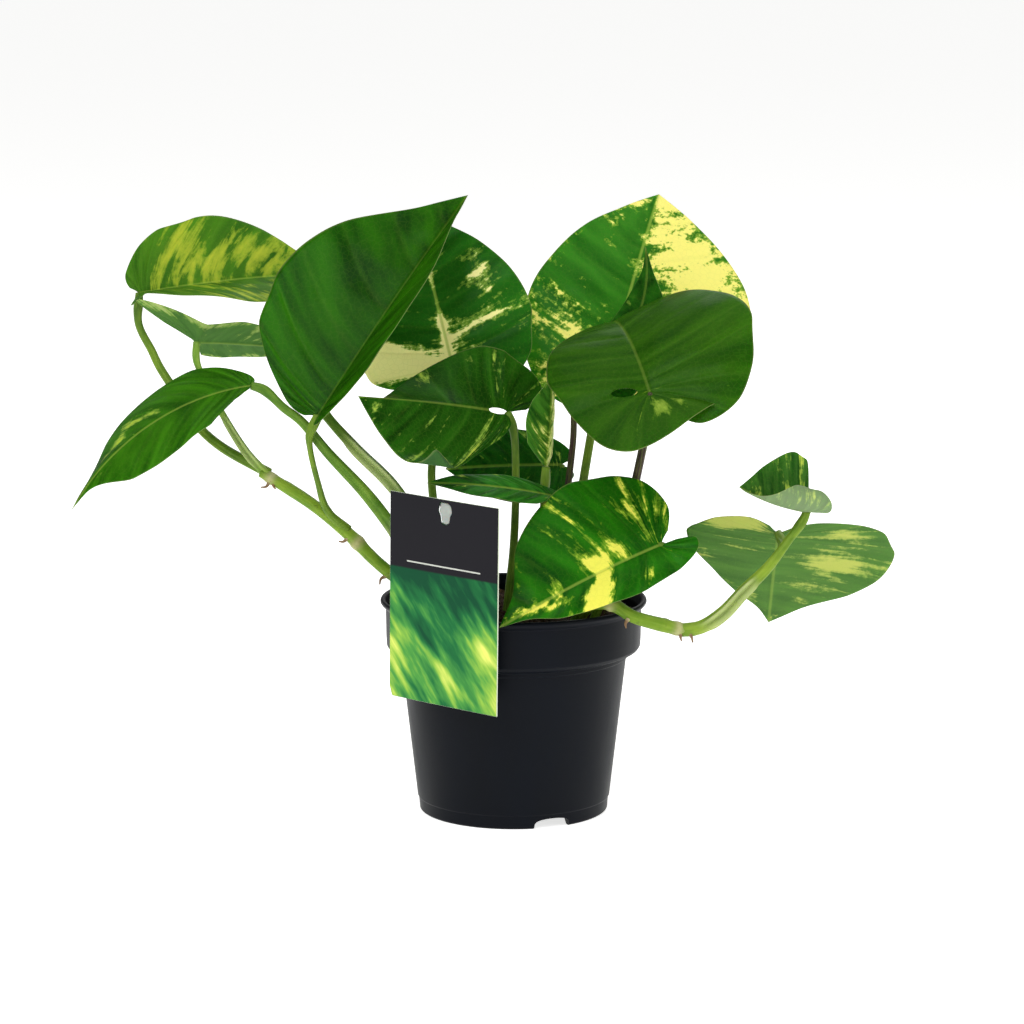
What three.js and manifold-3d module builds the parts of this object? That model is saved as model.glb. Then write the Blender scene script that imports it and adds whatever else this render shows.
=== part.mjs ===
// Potted pothos: a variegated climbing plant, grown bushy from several cuttings, in a black nursery pot
// with a hanging label card. Millimetres, +Z up. The origin is the middle of the pot's underside, and
// -Y is the front, the side that the card hangs on.

import * as THREE from 'three';
import { mergeVertices } from 'three/addons/utils/BufferGeometryUtils.js';
import Module from 'manifold-3d';

const wasm = await Module();
wasm.setup();

// ---------------------------------------------------------------- driving dimensions

const GAP = 0.3;                    // clearance between two pieces that touch
const MERGE = 1e-3;                 // vertices closer than this are one
const SLIVER = 0.01;                // detail finer than this is smoothed away after a union

const POT = {
  lipRadius: 60,                    // a 12 cm nursery pot
  lipTop: 97,
  bandRadius: 57.3,                 // collar below the lip
  bandBottom: 78,
  bodyTopRadius: 50.8,
  bodyTop: 70.5,
  footRadius: 42.6,
  footStep: 0.5,                    // the foot stands back from the tapered wall by this
  footHeight: 6.5,
  wall: 1.4,
  floorUnder: 3,                    // the floor is raised off the ground by its foot
  pip: 5,                           // radius of the round pip in the middle, level with the foot
  segments: 48,
};
const DRAIN = { count: 3, width: 17, height: 4.4, firstAngle: -66, holes: 6, holeRadius: 4, holeCircle: 26 };

const SOIL = { top: 89, crown: 2.5, rings: 5, spokes: 30, roughness: 1.1 };

const CARD = {
  width: 58.6,
  height: 92.4,
  thickness: 0.7,
  corner: 2.2,
  middle: [-30.45, -53.3, 104.5],
  yaw: 36,                          // degrees, turned to lie along the round of the lip
  lean: 1.8,                        // degrees, the top stands out from the pot
  roll: 2.1,                        // degrees, it hangs a little askew
  hole: { drop: 6.4, aside: 0.8, waist: 2.7, shoulder: 4.0, halfHeight: 5.2 },
};
// The stake leans out over the lip: its top is this far from the pot's axis, measured square to the card.
const STAKE = {
  width: 8, thickness: 1.2, length: 84, lean: 12, top: 149.4, topReach: 61.1, aside: 9, button: 3.6,
};

const BLADE = 0.7;                  // thickness of a leaf blade
const LEAF_STEPS = 13;              // steps from the sinus to the tip
const HALF_STEPS = 3;               // steps from the midrib to the margin
const VEIN_BEND = 1.35;
const SECTION_STEPS = 8;
const ROD_SIDES = 6;
const ROOTED = 14;                  // how deep a stalk stands in the soil
const NUB = [1.1, 0.45];            // radius of an aerial root's stub, at the stem and at its end

// A leaf's outline, from the sinus round a basal lobe to the tip. Along the leaf, a negative number is a
// share of the lobe's depth and a positive one a share of the blade's length. Across is a share of the
// half's width. ORIGIN says where on the midrib the vein to each of these points starts.
const MARGIN = [
  [-0.5, 0.1], [-1.0, 0.34], [-0.8, 0.68], [0.04, 0.93], [0.27, 1.0], [0.5, 0.88], [0.7, 0.63], [0.86, 0.31],
  [1.0, 0.0],
];
const ORIGIN = [0, 0.0, 0.01, 0.05, 0.16, 0.36, 0.58, 0.8, 1.0];
const WIDEST = 0.27;                // where the outline above is widest

// Each leaf stands on a stalk. `base` is where the stalk meets the blade, `tip` the point of the leaf and
// `face` the way its upper side looks. Pairs are [left half, right half], seen from above with the tip
// ahead. `fold` is how steeply a half leaves the midrib, at the base and at the tip, `cup` how much it
// goes on turning to its margin, `curl` how late it does so, and `heel` how steeply its basal lobe lifts.
// `arch` is the droop along the midrib. All of these are in degrees but `curl`, a power. `lobe` is the
// depth of a basal lobe and `belly` the place where the blade is widest, both shares of the length. `gape`
// is how far the lobe's inner edge stands off the midrib, below nothing where it crosses over, and `wave`
// is [height, crests, phase] of the ripple along the margin. A leaf "on" a vine is seated on it, and one
// "beside" another leaf is seated on that one's stalk as well.
const LEAVES = {
  leaf_far_left: {
    base: [-168.4, 24, 231.4], tip: [-81, 52, 237.8], face: [0, 0, 1],
    width: [37, 27], fold: [[46, 40], [8, -34]], cup: [8, -6], heel: [0, -40], arch: 8,
    lobe: [0.08, 0.1], belly: [0.4, 0.4], wave: [0.8, 2, 0.2],
    stalk: [[-168.4, 24, 231.4], [-169, 25, 217.4], [-163.2, 24, 205.3], [-159.5, 22, 198], [-150, 19, 183.8],
      [-142.5, 15, 172.8], [-131.5, 9, 164], [-109.4, 1, 153]], radius: [1.6, 1.9, 2.1, 2.4], on: 'vine_left',
  },
  leaf_drooping_left: {
    base: [-116, -12, 194.4], tip: [-195, -30, 141], face: [-0.5, -0.45, 0.75],
    width: [23, 29], fold: [[4, -22], [10, -24]], cup: [-12, -6], heel: [0, 0], arch: 61,
    lobe: [-0.02, 0.06], belly: [0.45, 0.4], wave: [0.6, 2, 0.6],
    stalk: [[-116, -12, 194.4], [-110.4, -12, 192.4], [-101.6, -13, 184.5], [-94.1, -14, 178.9],
      [-82.1, -16, 164.8], [-64.4, -20, 146.2], [-50, -23, 127], [-37, -25, 106], [-31, -24, 90]],
    radius: [1.7, 2.2, 2.9, 3.1, 3.1], on: 'soil',
  },
  leaf_large_left: {
    base: [-86.2, -20, 182], tip: [-20.4, 26, 275.4], face: [-0.3, -0.85, 0.4],
    width: [56, 34], fold: [[2, 4], [54, 55]], cup: [5, -8], heel: [0, 0], arch: 8,
    lobe: [0.02, 0.08], belly: [0.41, 0.4], wave: [0.9, 2, 0.1],
    stalk: [[-86.2, -20, 182], [-90, -20.5, 173.5], [-90, -19, 168], [-87, -14, 152], [-83, -8, 137.5],
      [-74, -6, 128.5]], radius: [2.0, 1.3, 1.3, 1.6, 2.3], on: 'vine_left',
  },
  leaf_small_left: {
    base: [-142.2, 13, 210.8], tip: [-92, 38, 203.6], face: [0, 0.72, 0.7],
    width: [13, 15], fold: [[6, 6], [2, 2]], cup: [0, 0], heel: [0, 34], arch: 8,
    lobe: [-0.02, 0.5], belly: [0.35, 0.35], wave: [0.5, 2, 0.3],
    stalk: [[-142.2, 13, 210.8], [-142, 12, 202], [-138, 10, 193], [-131, 7, 180], [-119.3, 2.5, 162],
      [-110.5, 0, 152.7]], radius: [1.3, 1.4, 1.7, 2.1], on: 'vine_left', beside: 'leaf_far_left',
  },
  leaf_back_left: {
    base: [-27, 22, 196.3], tip: [-44.8, 48, 266.7], face: [-0.1, -0.9, 0.4],
    width: [42, 41], fold: [[6, 6], [4, 4]], cup: [-10, -8], heel: [0, 0], arch: 14,
    lobe: [0.07, 0.14], belly: [0.3, 0.28], wave: [1.2, 3, 0.5],
    stalk: [[-27, 22, 196.3], [-27.5, 24, 188], [-33, 21, 170], [-37, 18, 152], [-33, 15, 120],
      [-26, 12, 100], [-24, 11, 88]], radius: [1.7, 1.8, 2.0, 2.2], on: 'soil',
  },
  leaf_back_right: {
    base: [41.2, 40, 186.7], tip: [68, 98, 269.5], face: [0.05, -0.8, 0.6],
    width: [45, 60], fold: [[4, 4], [4, 4]], cup: [-14, -12], heel: [0, 0], arch: 34,
    lobe: [0.14, 0.14], belly: [0.33, 0.36], wave: [1.4, 3, 0.1],
    stalk: [[41.2, 40, 186.7], [38, 41, 177], [33, 35, 151], [28, 27, 120], [24, 20, 100], [23, 18, 88]],
    radius: [1.9, 2.0, 2.2, 2.4], on: 'soil',
  },
  leaf_front_right: {
    base: [59.8, -28, 192.9], tip: [44, 37, 215.5], face: [-0.02, -0.75, 0.65],
    width: [41, 54], fold: [[0, 0], [16, 16]], cup: [-14, -14], heel: [24, 0], arch: 80,
    lobe: [0.38, 0.28], gape: [-0.6, 0.1], belly: [0.3, 0.3], wave: [0.8, 2, 0.2],
    stalk: [[59.8, -28, 192.9], [60.5, -22, 186], [57, -12, 165], [52, -6, 140], [44, -5, 110], [39, -5, 88]],
    radius: [1.8, 1.9, 2.1, 2.4], on: 'soil',
  },
  leaf_behind_right: {
    base: [31, 24, 192.7], tip: [59.4, 38, 251.5], face: [-0.75, -0.45, 0.35],
    width: [17, 22], fold: [[20, 20], [-35, -10]], cup: [-10, -10], heel: [0, 0], arch: -85,
    lobe: [0.12, 0.12], belly: [0.22, 0.22], wave: [0.6, 2, 0.4],
    stalk: [[31, 24, 192.7], [28, 24, 186], [27, 22, 165], [24, 15, 140], [20, 5, 110], [18, 2, 88]],
    radius: [1.4, 1.5, 1.7, 2.0], on: 'soil',
  },
  leaf_centre: {
    base: [-2.5, -5, 181.1], tip: [-66.9, -60, 196.5], face: [-0.1, -0.2, 0.97],
    width: [44, 31], fold: [[-62, -62], [60, -40]], cup: [190, 10], curl: [4, 1], heel: [0, 0], arch: 6,
    lobe: [0.04, 0.26], belly: [0.7, 0.12], wave: [0.6, 2, 0.7],
    stalk: [[-2.5, -5, 181.1], [0, -2, 173], [1, -2, 150], [0, -4, 120], [-2, -6, 100], [-3, -7, 88]],
    radius: [1.6, 1.7, 1.9, 2.2], on: 'soil',
  },
  leaf_inner: {
    base: [22, 32, 152], tip: [-31, 26, 151], face: [0, -0.85, 0.5],
    width: [18, 18], fold: [[6, 6], [6, 6]], cup: [-24, -20], heel: [0, 0], arch: 14,
    lobe: [0.14, 0.14], belly: [0.4, 0.4], wave: [0.6, 2, 0.2],
    stalk: [[22, 32, 152], [21, 32, 144], [12, 27, 120], [2, 21, 100], [-2, 18, 88]],
    radius: [1.3, 1.4, 1.5, 1.8], on: 'soil',
  },
  leaf_front_left: {
    base: [17.4, -17, 145.8], tip: [-38, -43, 155.8], face: [0, -0.3, 1],
    width: [11, 9], fold: [[14, 8], [12, 8]], cup: [-16, -20], heel: [0, 0], arch: 14,
    lobe: [0.02, 0.1], belly: [0.4, 0.4], wave: [0.5, 2, 0.2],
    stalk: [[17.4, -17, 145.8], [18, -16, 138], [15, -16, 119], [12, -16, 100], [11, -16, 88]],
    radius: [1.3, 1.4, 1.5, 1.8], on: 'soil',
  },
  leaf_young: {
    base: [14.4, -10, 157.5], tip: [17, -2, 199], face: [-0.55, -0.8, 0.2],
    width: [13, 15], fold: [[62, 50], [36, 40]], cup: [20, 30], heel: [0, 0], arch: -16,
    lobe: [-0.02, -0.02], belly: [0.42, 0.42], wave: [0.3, 2, 0.2],
    stalk: [[14.4, -10, 157.5], [14, -9, 149], [12, -7, 126], [7, -7, 104], [5, -7, 88]],
    radius: [1.7, 1.7, 1.8, 2.0], on: 'soil',
  },
  leaf_hidden_left: {
    base: [-87, 2, 188], tip: [-71, 22, 226], face: [-0.3, -0.85, 0.4],
    width: [15, 14], fold: [[20, 20], [20, 20]], cup: [10, 10], heel: [0, 0], arch: 10,
    lobe: [0.06, 0.06], belly: [0.3, 0.3], wave: [0.4, 2, 0.2],
    stalk: [[-87, 2, 188], [-85.5, -3, 183], [-70.3, -12, 166.5], [-53.3, -17, 150], [-38, -20, 125],
      [-29, -18, 104], [-26, -16, 88]], radius: [1.8, 2.6, 2.9, 3.0, 3.0], on: 'soil',
  },
  leaf_front_heart: {
    base: [65.1, -36, 127.5], tip: [-6.3, -63, 95.4], face: [-0.1, -0.8, 0.6],
    width: [20, 46], fold: [[6, 4], [4, 4]], cup: [-16, -10], heel: [20, 6], arch: 20,
    lobe: [0.16, 0.15], belly: [0.27, 0.26], wave: [0.8, 2, 0.3],
    stalk: [[65.1, -36, 127.5], [63, -31, 122.5], [54, -24, 113], [42, -19, 102], [35, -19, 88]],
    radius: [1.6, 1.8, 2.0, 2.2], on: 'soil',
  },
  leaf_right_far: {
    base: [118.9, 4, 125.3], tip: [117.4, 38, 77.5], face: [0.02, 0.72, 0.6],
    width: [41, 54], fold: [[4, -4], [6, 0]], cup: [0, -6], heel: [0, 0], arch: 10,
    lobe: [0.16, 0.1], belly: [0.07, 0.27], wave: [1.0, 2, 0.3],
    stalk: [[118.9, 4, 125.3], [120, -6, 121], [104.5, -28, 107.7], [90.9, -36, 95.8], [80, -43, 90],
      [74, -46, 90]], radius: [1.7, 1.7, 1.8, 2.0], on: 'vine_right', beside: 'leaf_right_small',
  },
  leaf_right_small: {
    base: [128.5, -38, 142.5], tip: [97.7, -52, 155.5], face: [-0.1, -0.2, 0.95],
    width: [21, 26], fold: [[14, 0], [60, 40]], cup: [150, 0], curl: [2, 1], heel: [0, 0], arch: -20,
    lobe: [0.2, 0.02], belly: [0.3, 0.2], wave: [0.4, 2, 0.3],
    stalk: [[128.5, -38, 142.5], [126.8, -38, 138.5], [120.6, -39, 130], [111.4, -41, 118],
      [100.5, -43, 107.5], [91.7, -45, 98.5], [82.1, -46, 92.4], [73.3, -46, 91]],
    radius: [1.6, 2.0, 2.7, 3.0, 3.0], on: 'vine_right',
  },
};

const VINES = {
  vine_left: {
    path: [[-30, -4, 78], [-40, -6, 93], [-48, -8, 103.5], [-56.1, -8, 110], [-63, -7.5, 116],
      [-73, -6, 126], [-90.5, -3, 140], [-109.4, 0, 151.5], [-113, 0.5, 153.5]],
    radius: [3.0, 3.0, 2.9, 2.8, 2.9, 2.7, 2.8, 2.2],
    nubs: [
      [[-109, -0.5, 150], [-111.5, -1.5, 146], [-113.5, -2, 145]],
      [[-74, -6.5, 125], [-77.5, -7.5, 122.5]],
    ],
  },
  vine_right: {
    path: [[22, -28, 78], [28, -34, 93], [35, -41, 101.5], [43, -46, 102.5], [52, -49, 97.8], [64, -48, 94],
      [73.3, -46, 91.5], [77, -45.5, 91.5]],
    radius: [2.8, 2.8, 2.8, 2.8, 2.8, 3.1, 2.4],
    nubs: [[[73, -46.5, 90], [73.8, -47.5, 84.5]], [[77, -46, 90.5], [79.5, -47, 83]]],
  },
};

// ---------------------------------------------------------------- solids

function toSolid(geometry) {
  const bare = new THREE.BufferGeometry();
  bare.setAttribute('position', geometry.getAttribute('position'));
  if (geometry.index) bare.setIndex(geometry.index);
  const merged = mergeVertices(bare, MERGE);
  const corners = merged.index.array;
  const kept = [];
  for (let i = 0; i < corners.length; i += 3) {
    const [a, b, c] = [corners[i], corners[i + 1], corners[i + 2]];
    if (a !== b && b !== c && c !== a) kept.push(a, b, c);
  }
  return new wasm.Manifold(new wasm.Mesh({
    numProp: 3,
    vertProperties: Float32Array.from(merged.getAttribute('position').array),
    triVerts: Uint32Array.from(kept),
  }));
}

function toGeometry(solid) {
  const mesh = solid.getMesh();
  const geometry = new THREE.BufferGeometry();
  geometry.setAttribute('position', new THREE.BufferAttribute(Float32Array.from(mesh.vertProperties), 3));
  geometry.setIndex(new THREE.BufferAttribute(Uint32Array.from(mesh.triVerts), 1));
  geometry.computeVertexNormals();
  return geometry;
}

const radians = THREE.MathUtils.degToRad;
const vector = (point) => new THREE.Vector3(...point);

// The value of an evenly spaced list at a share of its length, with straight runs between its entries.
function along(list, share) {
  const place = THREE.MathUtils.clamp(share, 0, 1) * (list.length - 1);
  const step = Math.min(Math.floor(place), list.length - 2);
  return THREE.MathUtils.lerp(list[step], list[step + 1], place - step);
}

// A closed cylinder bent along a smooth curve, with its radius following a list from end to end.
function bentRod(path, radius, { grow = 0, sides = ROD_SIDES, stretch = 6 } = {}) {
  const curve = new THREE.CatmullRomCurve3(path.map(vector), false, 'centripetal');
  const steps = Math.max(4, Math.round(curve.getLength() / stretch));
  const frames = curve.computeFrenetFrames(steps);
  const rod = new THREE.CylinderGeometry(1, 1, 1, sides, steps);
  const position = rod.getAttribute('position');
  for (let i = 0; i < position.count; i += 1) {
    const step = Math.round((position.getY(i) + 0.5) * steps);
    const reach = along(radius, step / steps) + grow;
    const place = curve.getPointAt(step / steps);
    place.addScaledVector(frames.normals[step], position.getX(i) * reach);
    place.addScaledVector(frames.binormals[step], -position.getZ(i) * reach);
    position.setXYZ(i, place.x, place.y, place.z);
  }
  return toSolid(rod);
}

// ---------------------------------------------------------------- leaves

const outline = new THREE.SplineCurve(MARGIN.map(([s, w]) => new THREE.Vector2(s, w)));
const veinStarts = new THREE.SplineCurve(ORIGIN.map((s, i) => new THREE.Vector2(s, i)));

function leafFrame(leaf) {
  const base = vector(leaf.base);
  const ahead = vector(leaf.tip).sub(base);
  const chord = ahead.length();
  ahead.normalize();
  const up = vector(leaf.face).normalize();
  up.addScaledVector(ahead, -up.dot(ahead)).normalize();
  const right = new THREE.Vector3().crossVectors(ahead, up);
  const bend = radians(leaf.arch) || 1e-6;
  const radius = chord / (2 * Math.sin(bend / 2));
  return { base, ahead, up, right, chord, bend, radius, length: radius * bend };
}

// A point of the midrib and the way the blade lies there: the midrib is an arc from base to tip, which
// goes on straight behind the base, under the basal lobes.
function midrib(leaf, frame, s) {
  const inside = Math.max(s, 0);
  const angle = frame.bend * (inside - 0.5);
  const half = frame.bend / 2;
  const forward = frame.radius * (Math.sin(angle) + Math.sin(half));
  const rise = frame.radius * (Math.cos(angle) - Math.cos(half));
  const { ahead, up } = frame;
  const tangent = ahead.clone().multiplyScalar(Math.cos(angle)).addScaledVector(up, -Math.sin(angle));
  const normal = up.clone().multiplyScalar(Math.cos(angle)).addScaledVector(ahead, Math.sin(angle));
  const place = frame.base.clone()
    .addScaledVector(ahead, forward)
    .addScaledVector(up, rise)
    .addScaledVector(tangent, Math.min(s, 0) * frame.length);
  return { place, normal };
}

// How far out from the midrib and how far up a half of the blade is, at a share of its width: the half
// leaves at its fold and turns by its cup, step by step.
function crossSection(leaf, half, s, share) {
  const [atBase, atTip] = leaf.fold[half];
  const fold = radians(THREE.MathUtils.lerp(atBase, atTip, THREE.MathUtils.clamp(s, 0, 1)));
  const cup = radians(leaf.cup[half]);
  const curl = leaf.curl?.[half] ?? 1;
  const stride = (leaf.width[half] * share) / SECTION_STEPS;
  let out = 0;
  let lift = 0;
  for (let i = 0; i < SECTION_STEPS; i += 1) {
    const turn = fold + cup * (((i + 0.5) / SECTION_STEPS) * Math.abs(share)) ** curl;
    out += stride * Math.cos(turn);
    lift += stride * Math.sin(turn);
  }
  return { out, lift };
}

// How far along the leaf a point of the margin is: a belly ahead of the outline's own slides the margin
// towards the tip, and one behind it gathers the margin towards the base.
function marginAlong(leaf, half, edge, u) {
  const belly = leaf.belly[half];
  const lobed = edge < 0 ? edge * leaf.lobe[half] : edge;
  if (belly <= WIDEST) return edge < 0 ? lobed : edge ** (Math.log(belly) / Math.log(WIDEST));
  const slide = (belly - WIDEST) / (1 - WIDEST);
  const share = THREE.MathUtils.smoothstep(u * (MARGIN.length - 1), 0, 3);
  return lobed + slide * (1 - Math.max(edge, 0)) * share;
}

// A point of the blade. u runs from the sinus to the tip, and across from the left margin, -1, through
// the midrib to the right margin, 1. A vein leaves the midrib steeply and bends forward to the margin.
function bladePoint(leaf, frame, u, across) {
  const half = across < 0 ? 0 : 1;
  const r = Math.abs(across);
  const edge = outline.getPoint(u);
  const edgeAlong = marginAlong(leaf, half, edge.x, u);
  const start = veinStarts.getPoint(u).x;
  const s = start + (edgeAlong - start) * r ** VEIN_BEND;
  const closed = MARGIN[0][1];
  const gape = (leaf.gape?.[half] ?? closed) - closed;
  const share = (edge.y + gape * Math.max(0, 1 - u * (MARGIN.length - 1))) * r;
  const { out, lift } = crossSection(leaf, half, s, share);
  const [height, crests, phase] = leaf.wave;
  const ripple = height * share * share * Math.sin(2 * Math.PI * (crests * s + phase + half * 0.4));
  const heel = Math.tan(radians(leaf.heel[half])) * Math.max(-s, 0) * frame.length;
  const { place, normal } = midrib(leaf, frame, s);
  place.addScaledVector(frame.right, half ? out : -out);
  return place.addScaledVector(normal, lift + ripple + heel);
}

// The blade as a thin closed sheet: one grid of points, set off half the thickness to either side, with
// the same triangles above and below and a strip round the margin.
function blade(leaf) {
  const frame = leafFrame(leaf);
  const columns = 2 * HALF_STEPS + 1;
  const points = [];
  for (let i = 0; i <= LEAF_STEPS; i += 1) {
    for (let j = -HALF_STEPS; j <= HALF_STEPS; j += 1) {
      points.push(bladePoint(leaf, frame, i / LEAF_STEPS, j / HALF_STEPS));
    }
  }
  const faces = [];
  for (let i = 0; i < LEAF_STEPS; i += 1) {
    for (let j = 0; j < columns - 1; j += 1) {
      const [a, b] = [i * columns + j, i * columns + j + 1];
      const [c, d] = [b + columns, a + columns];
      if (j < HALF_STEPS) faces.push([a, b, c], [a, c, d]);
      else faces.push([a, b, d], [b, c, d]);
    }
  }
  const normals = points.map(() => new THREE.Vector3());
  for (const [a, b, c] of faces) {
    const tilt = points[b].clone().sub(points[a]).cross(points[c].clone().sub(points[a]));
    for (const corner of [a, b, c]) normals[corner].add(tilt);
  }
  const tips = Array.from({ length: columns }, (_, j) => LEAF_STEPS * columns + j);
  const tipNormal = tips.reduce((sum, k) => sum.add(normals[k]), new THREE.Vector3());
  for (const k of tips) normals[k].copy(tipNormal);
  for (const normal of normals) normal.setLength(BLADE / 2);
  const corner = (k, side) => points[k].clone().addScaledVector(normals[k], side);
  const triangles = [];
  for (const [a, b, c] of faces) {
    triangles.push(corner(a, 1), corner(b, 1), corner(c, 1));
    triangles.push(corner(a, -1), corner(c, -1), corner(b, -1));
  }
  const rim = [];
  for (let j = 0; j < columns; j += 1) rim.push(j);
  for (let i = 1; i < LEAF_STEPS; i += 1) rim.push(i * columns + columns - 1);
  for (let i = LEAF_STEPS; i > 0; i -= 1) rim.push(i * columns);
  rim.forEach((a, k) => {
    const b = rim[(k + 1) % rim.length];
    triangles.push(corner(a, 1), corner(a, -1), corner(b, -1));
    triangles.push(corner(a, 1), corner(b, -1), corner(b, 1));
  });
  return toSolid(new THREE.BufferGeometry().setFromPoints(triangles));
}

// ---------------------------------------------------------------- pot, soil and label

function potProfile() {
  const { wall } = POT;
  const shoulder = POT.bandBottom - POT.bodyTop;
  const points = [
    [0, 0], [POT.pip - 0.6, 0], [POT.pip, 0.6], [POT.pip + 1.2, POT.floorUnder],
    [POT.footRadius - 5, POT.floorUnder], [POT.footRadius - 3.6, 0.6],
    [POT.footRadius - 3, 0], [POT.footRadius - 0.8, 0], [POT.footRadius - 0.1, 0.7],
    [POT.footRadius + 0.3, POT.footHeight - 0.4], [POT.footRadius + 0.3 + POT.footStep, POT.footHeight],
    [POT.bodyTopRadius, POT.bodyTop],
    [POT.bodyTopRadius + 1.6, POT.bodyTop + shoulder * 0.2],
    [POT.bandRadius - 1.4, POT.bodyTop + shoulder * 0.62],
    [POT.bandRadius - 0.2, POT.bandBottom],
    [POT.bandRadius, POT.bandBottom + 3],
    [POT.bandRadius + 0.2, POT.lipTop - 4.2],
    [POT.lipRadius - 0.8, POT.lipTop - 2.6],
    [POT.lipRadius, POT.lipTop - 1.6],
    [POT.lipRadius - 0.4, POT.lipTop - 0.4],
    [POT.lipRadius - 1.2, POT.lipTop],
    [POT.lipRadius - 2.4, POT.lipTop - 0.6],
    [POT.bandRadius + 0.2 - wall, POT.lipTop - 4.8],
    [POT.bandRadius - wall, POT.bandBottom + 1],
    [POT.bodyTopRadius - wall + 0.6, POT.bodyTop],
    [POT.footRadius + 0.8 - wall, POT.floorUnder + wall + 1.2],
    [POT.footRadius - 1.4 - wall, POT.floorUnder + wall],
    [0, POT.floorUnder + wall],
  ];
  return points.map(([r, z]) => new THREE.Vector2(r, z));
}

// A LatheGeometry turns about Y, and is stood up so that it turns about Z.
function turned(profile, segments) {
  const geometry = new THREE.LatheGeometry(profile, segments);
  geometry.rotateX(Math.PI / 2);
  return toSolid(geometry);
}

function pot() {
  let solid = turned(potProfile(), POT.segments);
  for (let i = 0; i < DRAIN.count; i += 1) {
    const angle = radians(DRAIN.firstAngle + (i * 360) / DRAIN.count);
    const notch = new THREE.BoxGeometry(24, DRAIN.width, 2 * DRAIN.height);
    notch.translate(POT.footRadius, 0, 0);
    notch.rotateZ(angle);
    solid = solid.subtract(toSolid(notch));
  }
  for (let i = 0; i < DRAIN.holes; i += 1) {
    const angle = radians((i * 360) / DRAIN.holes);
    const hole = new THREE.CylinderGeometry(DRAIN.holeRadius, DRAIN.holeRadius, 12, 12);
    hole.rotateX(Math.PI / 2);
    hole.translate(DRAIN.holeCircle * Math.cos(angle), DRAIN.holeCircle * Math.sin(angle), POT.floorUnder);
    solid = solid.subtract(toSolid(hole));
  }
  return solid;
}

function soil(stalks) {
  const { wall } = POT;
  const side = wall + GAP + 0.2;
  const profile = [
    [0, POT.floorUnder + wall + GAP],
    [POT.footRadius - 1.6 - wall, POT.floorUnder + wall + GAP],
    [POT.footRadius + 0.5 - wall, POT.floorUnder + wall + 2],
    [POT.bodyTopRadius - side, POT.bodyTop + 0.5],
    [POT.bandRadius - side, POT.bandBottom + 2],
    [POT.bandRadius - side, SOIL.top - 1.5],
  ];
  for (let i = 0; i <= SOIL.rings; i += 1) {
    const share = 1 - i / SOIL.rings;
    profile.push([(POT.bandRadius - wall - 1.6) * share, SOIL.top + SOIL.crown * (1 - share * share)]);
  }
  const geometry = new THREE.LatheGeometry(profile.map(([r, z]) => new THREE.Vector2(r, z)), SOIL.spokes);
  geometry.rotateX(Math.PI / 2);
  const position = geometry.getAttribute('position');
  for (let i = 0; i < position.count; i += 1) {
    const [x, y, z] = [position.getX(i), position.getY(i), position.getZ(i)];
    const reach = Math.hypot(x, y);
    if (z > SOIL.top - 1 && reach > 1) {
      const bump = Math.sin(x * 0.31 + 1.3) * Math.cos(y * 0.27 + 0.4) + 0.6 * Math.sin(x * 0.7 - y * 0.6);
      position.setZ(i, z + SOIL.roughness * bump);
    }
  }
  let solid = toSolid(geometry);
  for (const hole of stalks) solid = solid.subtract(hole);
  return solid;
}

// The label's outlines, seen from the front with its middle at the origin.
function holeOutline(inset) {
  const { drop, aside, waist, shoulder, halfHeight } = CARD.hole;
  const middle = CARD.height / 2 - drop;
  const [w, s, h] = [waist - inset, shoulder - inset, halfHeight - inset];
  const points = [[-w, h], [w, h], [s, 0.2 * h], [w, -0.15 * h], [0.9 * w, -0.8 * h], [0, -h],
    [-0.9 * w, -0.8 * h], [-w, -0.15 * h], [-s, 0.2 * h]];
  return points.map(([x, y]) => new THREE.Vector2(x + aside, y + middle));
}

function cardOutline() {
  const [w, h, c] = [CARD.width / 2, CARD.height / 2, CARD.corner];
  const shape = new THREE.Shape();
  shape.moveTo(w, -h);
  shape.lineTo(w, h);
  shape.lineTo(-w, h);
  shape.lineTo(-w, -h + c);
  shape.quadraticCurveTo(-w, -h, -w + c, -h);
  shape.closePath();
  shape.holes.push(new THREE.Path(holeOutline(0)));
  return shape;
}

// Stands a flat piece, drawn facing +Z, where the card hangs: turned to the round of the lip and leant out.
function hang(geometry) {
  geometry.rotateZ(-radians(CARD.roll));
  geometry.rotateX(Math.PI / 2 + radians(CARD.lean));
  geometry.rotateZ(-radians(CARD.yaw));
  geometry.translate(...CARD.middle);
  return geometry;
}

function card() {
  const depth = CARD.thickness;
  const sheet = new THREE.ExtrudeGeometry(cardOutline(), { depth, bevelEnabled: false, curveSegments: 4 });
  sheet.translate(0, 0, -CARD.thickness / 2);
  return toSolid(hang(sheet));
}

// A flat stake that leans out of the soil, and the button on it that the card hangs on by its hole.
function stake() {
  const strip = (grow) => {
    const sizes = [STAKE.width, STAKE.thickness, STAKE.length].map((size) => size + 2 * grow);
    const box = new THREE.BoxGeometry(...sizes);
    box.translate(0, 0, -STAKE.length / 2);
    box.rotateX(radians(STAKE.lean));
    box.translate(STAKE.aside, -STAKE.topReach, STAKE.top);
    box.rotateZ(-radians(CARD.yaw));
    return toSolid(box);
  };
  const button = new THREE.ExtrudeGeometry(new THREE.Shape(holeOutline(GAP + 0.05)), {
    depth: STAKE.button, bevelEnabled: false,
  });
  button.translate(0, 0, CARD.thickness / 2 - 0.1 - STAKE.button);
  return { stake: strip(0).add(toSolid(hang(button))), slot: strip(GAP) };
}

// ---------------------------------------------------------------- assembly

const FINISH = {
  leaf: { color: 0x2f6b1c, roughness: 0.4 },
  stalk: { color: 0x6f9a35, roughness: 0.5 },
  pot: { color: 0x1b1e22, roughness: 0.45 },
  soil: { color: 0x3a2a1e, roughness: 0.95 },
  card: { color: 0x2f5f2c, roughness: 0.35 },
  stake: { color: 0xb9beb9, roughness: 0.5 },
};

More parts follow.
